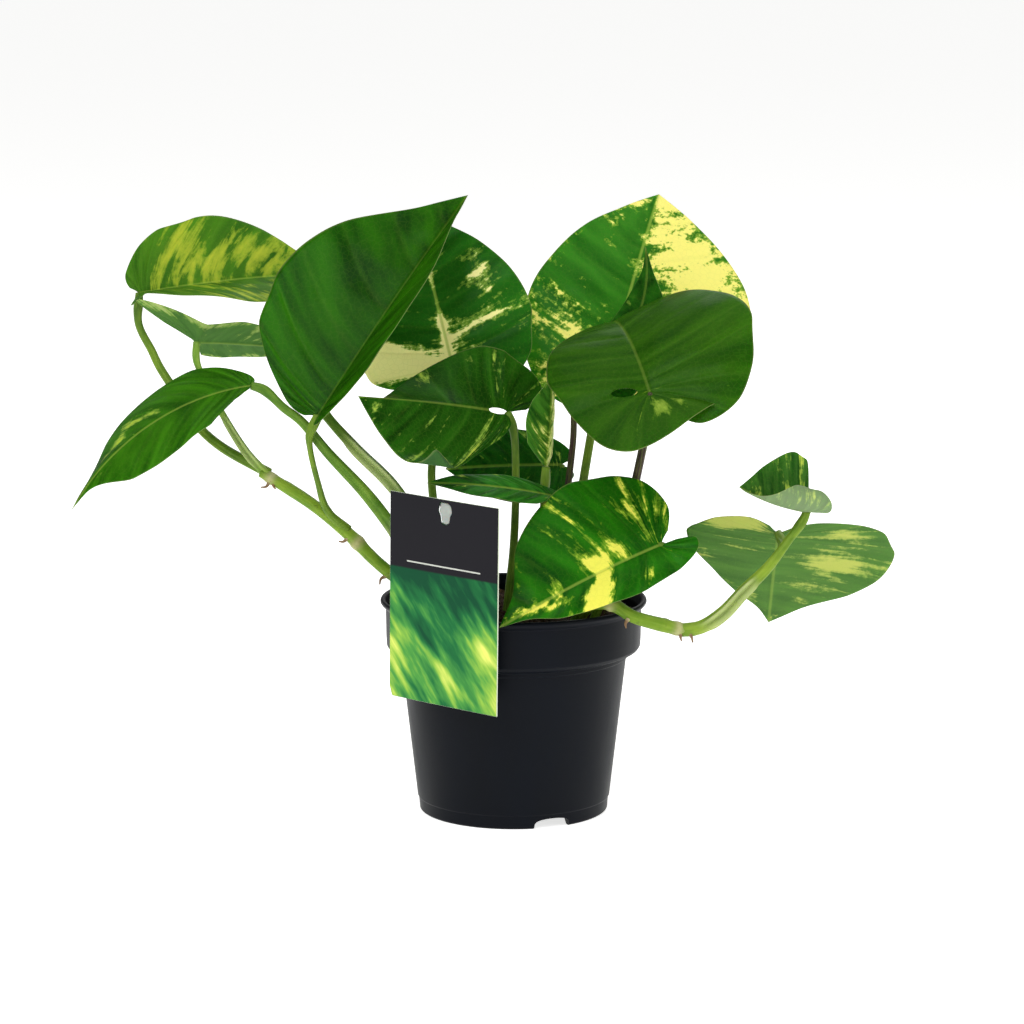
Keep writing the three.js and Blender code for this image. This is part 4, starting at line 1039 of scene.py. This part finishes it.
def cut_away(piece, tool):
    """Cuts a tool out of a piece and removes the tool."""
    finish_with(piece, "BOOLEAN", operation="DIFFERENCE", solver="EXACT", object=tool)
    mesh = tool.data
    bpy.data.objects.remove(tool)
    bpy.data.meshes.remove(mesh)


def drain_cutters():
    """The drainage cuts: an arch through the foot at each third of a turn, and a ring of round holes. Each
    reaches past the wall or the floor that it goes through."""
    arch = np.linspace(0, math.pi, 17)
    half, below, past = DRAIN["width"] / 2, -2.0, 12
    outline = np.stack([half * np.cos(arch), DRAIN["height"] * np.sin(arch) ** 0.45], axis=-1)
    outline = np.vstack([[half, below], outline[:-1], [-half, outline[-1][1]], [-half, below]])
    for turn in math.radians(DRAIN["first_angle"]) + np.arange(DRAIN["count"]) * 2 * math.pi / DRAIN["count"]:
        ahead, aside = np.array([math.cos(turn), math.sin(turn)]), np.array([-math.sin(turn), math.cos(turn)])
        ends = [
            np.column_stack([reach * ahead + outline[:, :1] * aside, outline[:, 1]])
            for reach in (POT["foot_radius"] - past, POT["foot_radius"] + past)
        ]
        yield np.vstack(ends), tube_faces(2, len(outline), flat=True)
    ring = np.linspace(0, 2 * math.pi, 28, endpoint=False)
    for turn in np.arange(DRAIN["holes"]) * 2 * math.pi / DRAIN["holes"]:
        middle = DRAIN["hole_circle"] * np.array([math.cos(turn), math.sin(turn)])
        circle = middle + DRAIN["hole_radius"] * np.stack([np.cos(ring), np.sin(ring)], axis=-1)
        ends = [np.column_stack([circle, np.full(len(ring), z)]) for z in (below, 9.0)]
        yield np.vstack(ends), tube_faces(2, len(ring), flat=True)


def soil_height(x, y):
    """The top of the soil: a low crown with the same swells as the solid's, and crumbs on it."""
    reach = np.hypot(x, y)
    top = POT["band_radius"] - POT["wall"] - 1.6
    crown = SOIL["top"] + SOIL["crown"] * (1 - np.clip(reach / top, 0, 1) ** 2)
    swell = np.sin(0.31 * x + 1.3) * np.cos(0.27 * y + 0.4) + 0.6 * np.sin(0.7 * x - 0.6 * y)
    ground = np.stack([x, y], axis=-1)
    crumbs = 1.1 * np.abs(ripples(ground, 7, 11, 3)) + 0.45 * ripples(ground, 2.2, 12, 2)
    return crown + SOIL["roughness"] * (swell + crumbs - 0.4)


def placed_on_card(points):
    """Points drawn with the card's middle at the origin, +X to its right, +Y up and +Z out of its front, set
    where the card hangs: rolled, stood up and leant, and turned to the round of the lip."""
    roll, lean, yaw = (math.radians(CARD[key]) for key in ("roll", "lean", "yaw"))
    x, y, z = np.moveaxis(np.asarray(points, float), -1, 0)
    x, y = rotated(x, y, -roll)
    y, z = rotated(y, z, math.pi / 2 + lean)
    x, y = rotated(x, y, -yaw)
    return np.stack([x, y, z], axis=-1) + CARD["middle"]


def hole_outline(inset, count):
    """The hanging hole's outline, a shouldered slot near the card's top, smoothed and evenly spaced."""
    middle = CARD["height"] / 2 - CARD["hole_drop"]
    w, s, h = (CARD[key] - inset for key in ("hole_waist", "hole_shoulder", "hole_half_height"))
    corners = np.array([
        [-w, h], [w, h], [s, 0.2 * h], [w, -0.15 * h], [0.9 * w, -0.8 * h], [0, -h], [-0.9 * w, -0.8 * h],
        [-w, -0.15 * h], [-s, 0.2 * h], [-w, h],
    ])
    return evenly(rounded(corners, 2)[:-1], count) + [CARD["hole_aside"], middle]


def evenly(loop, count):
    """A closed outline walked in even steps, starting where it crosses straight to the right of its middle.
    It is walked 16 times as finely first, to find that start."""
    finer = 16
    middle = loop.mean(axis=0)
    closed = np.vstack([loop, loop[:1]])
    walked = np.concatenate([[0], np.cumsum(np.linalg.norm(np.diff(closed, axis=0), axis=1))])
    fine = np.linspace(0, walked[-1], count * finer, endpoint=False)
    points = np.stack([np.interp(fine, walked, axis) for axis in closed.T], axis=-1)
    bearing = np.arctan2(points[:, 1] - middle[1], points[:, 0] - middle[0])
    if np.mod(bearing[8] - bearing[0], 2 * math.pi) > math.pi:
        points, bearing = points[::-1], bearing[::-1]
    return np.roll(points, -int(np.argmin(np.abs(bearing))), axis=0)[::finer]


def card_outline():
    """The card's outline: square corners, but for the rounded one at its lower left."""
    w, h, c = CARD["width"] / 2, CARD["height"] / 2, CARD["corner"]
    turn = np.linspace(math.pi, 1.5 * math.pi, 9)
    corner = np.stack([-w + c + c * np.cos(turn), -h + c + c * np.sin(turn)], axis=-1)
    return np.vstack([[[w, -h], [w, h], [-w, h]], corner])


def square_spread(hole, outline, rings):
    """Rings between a hole and an outline. Along each ray from the hole's middle through a point of the hole,
    the rings lie in even shares to where the ray meets the outline, with one more just inside that. The
    outline's corners are on the nearest rays."""
    inset = 0.15
    middle = hole.mean(axis=0)
    ways = unit(hole - middle)
    step = np.roll(outline, -1, axis=0) - outline
    offset = outline - middle
    cross = ways[:, None, 0] * step[None, :, 1] - ways[:, None, 1] * step[None, :, 0]
    cross = np.where(np.abs(cross) < 1e-12, 1e-12, cross)
    reach = (offset[None, :, 0] * step[None, :, 1] - offset[None, :, 1] * step[None, :, 0]) / cross
    share = (offset[None, :, 0] * ways[:, None, 1] - offset[None, :, 1] * ways[:, None, 0]) / cross
    hit = (reach > 0) & (share > -1e-9) & (share < 1 + 1e-9)
    ends = middle + ways * np.where(hit, reach, np.inf).min(axis=1)[:, None]
    gap = np.linalg.norm(outline[:, None] - ends[None], axis=2)
    ends[gap.argmin(axis=1)] = outline
    share = np.append(np.linspace(0, 1, rings - 1), 1)[:, None, None]
    spread = hole[None] + (ends - hole)[None] * share
    spread[-2] -= inset * unit(ends - hole)
    return spread


def closed_sheet(front, back):
    """A ring-shaped sheet with a front, a back and the walls round its hole and its outline."""
    rings, around = front.shape[:2]
    count = rings * around
    top = quads(rings, around, wrap=True)
    walls = []
    for row, flip in ((0, False), (rings - 1, True)):
        here = row * around + np.arange(around)
        there = row * around + (np.arange(around) + 1) % around
        wall = np.stack([here, here + count, there + count, there], axis=-1)
        walls.append(wall if flip else wall[:, ::-1])
    return np.concatenate([front.reshape(-1, 3), back.reshape(-1, 3)]), np.concatenate(
        [top, top[:, ::-1] + count, *walls]
    )


# ---------------------------------------------------------------- settings


class PothosLeaves(bpy.types.PropertyGroup):
    """How the blades are made and coloured."""

    thickness: length("Thickness", "Thickness of a blade at its midrib", 0.0005)
    relief: length("Relief", "How far a blade swells between its side veins", 0.0006)
    rows: IntProperty(name="Rows", description="Rows of points from sinus to tip", default=110, min=20)
    columns: IntProperty(name="Columns", description="Points from midrib to margin", default=34, min=6)
    cream: colour("Cream", "The palest patches, where a leaf gives no colour of its own", "#e9e67c")
    halo: colour("Halo", "The wash of yellow-green round a pale patch", "#8fb043")


class PothosStems(bpy.types.PropertyGroup):
    """How the stalks and vines are made and coloured."""

    step: length("Step", "Distance between two rings of points along a stem", 0.0012)
    sides: IntProperty(name="Sides", description="Points round a stem", default=28, min=8)
    groove: FloatProperty(
        name="Groove", description="Depth of a stalk's groove as a share of its radius", default=0.22,
        min=0, max=0.6, subtype="FACTOR",
    )
    stripe: colour("Stripe", "The pale fibres along a stem", "#a2ba52")
    sheath: colour("Sheath", "The papery sheath that clasps a stem", "#d3da9c")


class PothosSoil(bpy.types.PropertyGroup):
    """How finely the soil is made, how many loose bits lie on it, and its colours."""

    rings: IntProperty(name="Rings", description="Rings of points out to the wall", default=73, min=8)
    around: IntProperty(name="Around", description="Points round each ring", default=220, min=24)
    crumbs: IntProperty(name="Crumbs", description="Loose crumbs of peat and bark", default=420, min=0)
    dark: colour("Dark", "Damp peat", "#1d140e")
    light: colour("Light", "Drier peat", "#4c3626")


class PothosPot(bpy.types.PropertyGroup):
    """How finely the pot is turned, and its colour."""

    segments: IntProperty(name="Segments", description="Points round the pot", default=192, min=24)
    colour: colour("Colour", "The pot's plastic", "#06080d")


class PothosLabel(bpy.types.PropertyGroup):
    """How finely the card is made, the print on it, and the plastic of its stake."""

    rays: IntProperty(name="Rays", description="Points round the hanging hole", default=256, min=32)
    rings: IntProperty(name="Rings", description="Rings of points from hole to edge", default=26, min=4)
    head: FloatProperty(
        name="Head", description="Where the charcoal head starts, as a share of the card's height",
        default=0.64, min=0, max=1, subtype="FACTOR",
    )
    ink: colour("Ink", "The charcoal head", "#1d1c21")
    # the stake's grey is partly painted shade, darker than the plastic's own milky white
    stake: colour("Stake", "The stake's plastic", "#868c86")


class PothosStage(bpy.types.PropertyGroup):
    """The floor, the lights and the camera."""

    camera: FloatVectorProperty(
        name="Camera", description="Where the camera stands", default=(-0.0007, -1.67545, 0.42349), size=3,
        subtype="XYZ", unit="LENGTH",
    )
    target: FloatVectorProperty(
        name="Target", description="What the camera looks at", default=(-0.0007, 0, 0.1356), size=3,
        subtype="XYZ", unit="LENGTH",
    )
    lens: FloatProperty(
        name="Lens", description="Focal length in millimetres", default=133.4, min=1, unit="CAMERA",
    )
    key: FloatProperty(
        name="Key light", description="Power of the main light", default=25, min=0, unit="POWER",
    )
    sky: FloatProperty(name="Sky", description="Strength of the light from all round", default=0.24, min=0)
    floor: colour("Floor", "The floor", "#f7f7f6")
    glow: FloatProperty(
        name="Glow", description="How much the floor is lit through from below, as a light table is",
        default=0.78, min=0,
    )


# ---------------------------------------------------------------- pieces


class POTHOS_OT_pot(bpy.types.Operator):
    """Make the nursery pot"""

    bl_idname = "pothos.make_pot"
    bl_label = "Pot"

    def execute(self, context):
        settings = context.scene.pothos_pot
        profile = densely(rounded(held(pot_profile(), 0.7), 2), 4)
        points, faces = lathe(profile, settings.segments)
        pot = add_piece("nursery_pot", points, faces, pot_material(settings), slot="pot", replaces=["pot"])
        for number, (corners, sides) in enumerate(drain_cutters()):
            cut_away(pot, cutter(corners, sides, f"drain_{number}"))
        pot.data.set_sharp_from_angle(angle=math.radians(32))
        return {"FINISHED"}


class POTHOS_OT_soil(bpy.types.Operator):
    """Make the soil with its loose crumbs and fibres"""

    bl_idname = "pothos.make_soil"
    bl_label = "Soil"

    def execute(self, context):
        settings = context.scene.pothos_soil
        around, rim, bottom = settings.around, POT["band_radius"] - POT["wall"] - 1.0, SOIL["top"] - 6
        reach = rim * np.linspace(0, 1, settings.rings + 1)[1:] ** 0.9
        angle = np.linspace(0, 2 * math.pi, around, endpoint=False)
        x, y = reach[:, None] * np.cos(angle), reach[:, None] * np.sin(angle)
        top = np.stack([x, y, soil_height(x, y)], axis=-1)
        skirt = top[-1] * [0.985, 0.985, 0] + [0, 0, bottom]
        rings = np.vstack([top, skirt[None]])
        points = np.vstack([rings.reshape(-1, 3), [0, 0, soil_height(0.0, 0.0)], [0, 0, bottom]])
        peat = soil_material(settings)
        add_piece(
            "peat", points, tube_faces(len(rings), around, flip=True), peat, slot="soil", replaces=["soil"]
        )
        scattered_bits(settings, peat)
        return {"FINISHED"}


def scattered_bits(settings, material):
    """Loose crumbs on the soil: seeded little lumps, each an eight-cornered block with its corners moved, in
    one mesh. Every sixth is a long thin one, a fibre of bark."""
    random = np.random.default_rng(5)
    count = settings.crumbs
    reach = (POT["band_radius"] - POT["wall"] - 4) * np.sqrt(random.uniform(0, 1, count))
    turn = random.uniform(0, 2 * math.pi, count)
    x, y = reach * np.cos(turn), reach * np.sin(turn)
    middle = np.stack([x, y, soil_height(x, y) + 0.35], axis=-1)
    size = random.uniform(0.5, 1.9, (count, 1)) * random.uniform(0.6, 1.2, (count, 3))
    size[::6] *= [3.2, 0.35, 0.35]
    cube = np.array([[i, j, k] for k in (-1, 1) for j in (-1, 1) for i in (-1, 1)], float) * 0.8
    shape = cube[None] * random.uniform(0.6, 1.0, (count, 8, 1)) * size[:, None]
    way = random.uniform(0, 2 * math.pi, count)[:, None]
    tilt = random.uniform(-0.5, 0.5, count)[:, None]
    x, y, z = np.moveaxis(shape, -1, 0)
    x, z = rotated(x, z, tilt)
    x, y = rotated(x, y, way)
    points = np.stack([x, y, z], axis=-1) + middle[:, None]
    block = np.array([[0, 2, 3, 1], [4, 5, 7, 6], [0, 1, 5, 4], [1, 3, 7, 5], [3, 2, 6, 7], [2, 0, 4, 6]])
    faces = (block[None] + 8 * np.arange(count)[:, None, None]).reshape(-1, 4)
    crumbs = add_piece("peat_crumbs", points, faces, material, slot="soil", replaces=["soil"])
    finish_with(crumbs, "SUBSURF", levels=1, render_levels=1)


class POTHOS_OT_vines(bpy.types.Operator):
    """Make the two trailing vines with their joints and aerial roots"""

    bl_idname = "pothos.make_vines"
    bl_label = "Vines"

    def execute(self, context):
        settings = context.scene.pothos_stems
        skin = stem_material("Vine skin", ("#4c7716", "#7f9c28"), settings)
        cork = root_material()
        for name, vine in VINES.items():
            sheath = [(max(0, at - 0.13), at + 0.01) for at in vine["joints"]]
            tube = stem_tube(vine["path"], vine["radius"], settings, joints=vine["joints"], sheath=sheath)
            add_piece(f"{name}_stem", material=skin, slot="stem", replaces=[name], **tube)
            for number, root in enumerate(vine["roots"]):
                tube = stem_tube(root, [1.0, 0.75, 0.5, 0.3], settings, sides=10, groove=0)
                add_piece(f"{name}_root_{number + 1}", material=cork, slot="stem", replaces=[name], **tube)
        return {"FINISHED"}


class POTHOS_OT_leaves(bpy.types.Operator):
    """Make every leaf: its blade and the stalk that carries it"""

    bl_idname = "pothos.make_leaves"
    bl_label = "Leaves"

    def execute(self, context):
        leaves, stems = context.scene.pothos_leaves, context.scene.pothos_stems
        for name, leaf in LEAVES.items():
            look = LOOKS[name]
            place = name.removeprefix("leaf_")
            wax = leaf_material(f"Waxy leaf {place}", look, leaves)
            blade = leaf_blade(f"{name}_blade", leaf, look, leaves, wax)
            if name in TEARS:
                cut_away(blade, cutter(*tear_cutter(*TEARS[name]), f"tear_{name}"))
            greens, sheath = STALKS.get(name, (FRESH, []))
            path = [leaf["base"], *leaf["stalk"]]
            if leaf["on"] == "soil":
                path.append([*path[-1][:2], path[-1][2] - ROOTED])
            tube = stem_tube(path, leaf["radius"], stems, groove=stems.groove, sheath=sheath, knuckle=6.0)
            skin = stem_material(f"Stalk skin {place}", greens, stems)
            add_piece(f"{name}_stalk", material=skin, slot="stem", replaces=[name], **tube)
        return {"FINISHED"}


class POTHOS_OT_label(bpy.types.Operator):
    """Make the hanging label card"""

    bl_idname = "pothos.make_label"
    bl_label = "Label card"

    def execute(self, context):
        settings = context.scene.pothos_label
        flat = square_spread(hole_outline(0, settings.rays), card_outline(), settings.rings)
        bow = 0.25 * (1 - (flat[..., :1] / (CARD["width"] / 2)) ** 2)
        half = CARD["thickness"] / 2
        front, back = (np.concatenate([flat, bow + lift], axis=-1) for lift in (half, -half))
        corners, faces = closed_sheet(front, back)
        uv = corners[:, :2] / [CARD["width"], CARD["height"]] + 0.5
        sides = np.repeat([[1.0], [0.5]], len(corners) // 2, axis=1)
        sides[:, -settings.rays :] = 0
        card = add_piece(
            "label_board", placed_on_card(corners), faces, card_material(settings), uv=uv,
            values={"face": sides}, slot="card", replaces=["label_card"],
        )
        card.data.set_sharp_from_angle(angle=math.radians(40))
        return {"FINISHED"}


class POTHOS_OT_stake(bpy.types.Operator):
    """Make the stake that leans out of the soil, and the button on it that fills the card's hole"""

    bl_idname = "pothos.make_stake"
    bl_label = "Stake"

    def execute(self, context):
        plastic = stake_material(context.scene.pothos_label)
        half_width, half = STAKE["width"] / 2, STAKE["thickness"] / 2
        # the last 9 mm narrow towards a tip 11 mm further down, so the end is blunt
        around, rings, point, to_tip = 48, 40, 9, 11
        corners = [[-half_width, -half], [half_width, -half], [half_width, half], [-half_width, half]]
        section = evenly(rounded(np.array([*corners, corners[0]]), 3), around)
        along = np.linspace(0, STAKE["length"], rings)[:, None]
        taper = np.where(along > STAKE["length"] - point, 1 - (along - STAKE["length"] + point) / to_tip, 1)
        x = section[:, 0] * taper + STAKE["aside"]
        y, z = rotated(section[:, 1] + 0 * along, 0 * section[:, 1] - along, math.radians(STAKE["lean"]))
        x, y = rotated(x, y - STAKE["top_reach"], -math.radians(CARD["yaw"]))
        strip = np.stack([x, y, z + STAKE["top"]], axis=-1)
        inner = hole_outline(STAKE["clearance"], 64)
        middle = inner.mean(axis=0)
        front = CARD["thickness"] / 2 - 0.1
        # the button as (height over the card's front, share of the hole's size)
        levels = [(-STAKE["button"], 1.0), (-0.3, 1.0), (-0.08, 0.97), (0.0, 0.9), (0.0, 0.55), (-0.15, 0.45)]
        button = placed_on_card([
            np.column_stack([middle + (inner - middle) * share, np.full(len(inner), front + z)])
            for z, share in levels
        ])
        for name, grid in (("label_strip", strip), ("label_button", button)):
            faces = tube_faces(*grid.shape[:2], flat=True)
            piece = add_piece(name, grid, faces, plastic, slot="stake", replaces=["label_stake"])
            recalculated(piece)
            piece.data.set_sharp_from_angle(angle=math.radians(35))
        return {"FINISHED"}


def recalculated(piece):
    """Turns a closed piece's faces outwards."""
    shape = bmesh.new()
    shape.from_mesh(piece.data)
    bmesh.ops.recalc_face_normals(shape, faces=shape.faces)
    shape.to_mesh(piece.data)
    shape.free()


class POTHOS_OT_stage(bpy.types.Operator):
    """Lay the floor, hang the lights and set up the camera"""

    bl_idname = "pothos.make_stage"
    bl_label = "Stage"

    def execute(self, context):
        settings = context.scene.pothos_stage
        scene = context.scene
        half = 60.0 / MM
        corners = [(-half, -half, 0), (half, -half, 0), (half, half, 0), (-half, half, 0)]
        mesh = new_mesh("pale_floor", corners, [(0, 1, 2, 3)])
        paint, tree = new_material("Matt painted floor")
        place = add(tree, "TexCoord").outputs["Object"]
        speck = add(tree, "TexNoise", {"Vector": place, "Scale": 60, "Detail": 3})
        tone = add(tree, "MapRange", {"Value": speck, "To Min": 0.97, "To Max": 1.0})
        tone = add(tree, "Mix", {"Factor": tone, "A": linear("#e6e6e4"), "B": settings.floor})
        finish_material(
            tree, Base_Color=tone, Roughness=0.7, Specular_IOR_Level=0.1, Emission_Color=tone,
            Emission_Strength=settings.glow,
        )
        mesh.materials.append(paint)
        floor = bpy.data.objects.new("pale_floor", mesh)
        scene.collection.objects.link(floor)
        target = Vector(settings.target)
        for name, at, size, power in (
            ("key", (-0.9, -1.5, 1.7), 1.3, settings.key),
            ("fill", (1.6, -1.3, 1.1), 1.6, settings.key * 0.5),
            ("back", (0.4, 1.6, 1.5), 1.4, settings.key * 0.55),
            ("top", (0, -0.1, 2.2), 1.8, settings.key * 0.5),
        ):
            light = bpy.data.lights.new(name, "AREA")
            light.energy, light.size = power, size
            lamp = bpy.data.objects.new(name, light)
            lamp.location = at
            lamp.rotation_euler = (target - Vector(at)).to_track_quat("-Z", "Y").to_euler()
            scene.collection.objects.link(lamp)
        world = bpy.data.worlds.new("Soft studio")
        world.use_nodes = True
        sky = world.node_tree.nodes["Background"]
        sky.inputs["Color"].default_value = (1, 1, 1, 1)
        sky.inputs["Strength"].default_value = settings.sky
        scene.world = world
        scene.view_settings.view_transform = "Standard"
        camera = bpy.data.cameras.new("photo")
        camera.lens, camera.sensor_width = settings.lens, 36
        eye = bpy.data.objects.new("photo", camera)
        eye.location = settings.camera
        eye.rotation_euler = (target - Vector(settings.camera)).to_track_quat("-Z", "Y").to_euler()
        scene.collection.objects.link(eye)
        scene.camera = eye
        return {"FINISHED"}


class POTHOS_PT_pieces(bpy.types.Panel):
    """The settings and the pieces"""

    bl_label = "Potted pothos"
    bl_idname = "POTHOS_PT_pieces"
    bl_space_type = "VIEW_3D"
    bl_region_type = "UI"
    bl_category = "Pothos"

    def draw(self, context):
        for group, operators in PIECES.items():
            box = self.layout.box()
            settings = getattr(context.scene, group)
            for key in settings.__annotations__:
                box.prop(settings, key)
            for operator in operators:
                box.operator(operator.bl_idname)


SETTINGS = {
    "pothos_leaves": PothosLeaves, "pothos_stems": PothosStems, "pothos_soil": PothosSoil,
    "pothos_pot": PothosPot, "pothos_label": PothosLabel, "pothos_stage": PothosStage,
}
PIECES = {
    "pothos_pot": [POTHOS_OT_pot],
    "pothos_soil": [POTHOS_OT_soil],
    "pothos_stems": [POTHOS_OT_vines],
    "pothos_leaves": [POTHOS_OT_leaves],
    "pothos_label": [POTHOS_OT_label, POTHOS_OT_stake],
    "pothos_stage": [POTHOS_OT_stage],
}
CLASSES = [*SETTINGS.values(), *(operator for operators in PIECES.values() for operator in operators)]
CLASSES.append(POTHOS_PT_pieces)


def register():
    """Registers the settings, the operators and the panel."""
    for item in CLASSES:
        bpy.utils.register_class(item)
    for key, group in SETTINGS.items():
        setattr(bpy.types.Scene, key, PointerProperty(type=group))


def unregister():
    """Takes back what register() did."""
    for key in SETTINGS:
        delattr(bpy.types.Scene, key)
    for item in reversed(CLASSES):
        bpy.utils.unregister_class(item)


def main():
    """Makes every piece and the stage."""
    register()
    bpy.ops.pothos.make_stage()
    bpy.ops.pothos.make_pot()
    bpy.ops.pothos.make_soil()
    bpy.ops.pothos.make_vines()
    bpy.ops.pothos.make_leaves()
    bpy.ops.pothos.make_label()
    bpy.ops.pothos.make_stake()


if __name__ == "__main__":
    main()
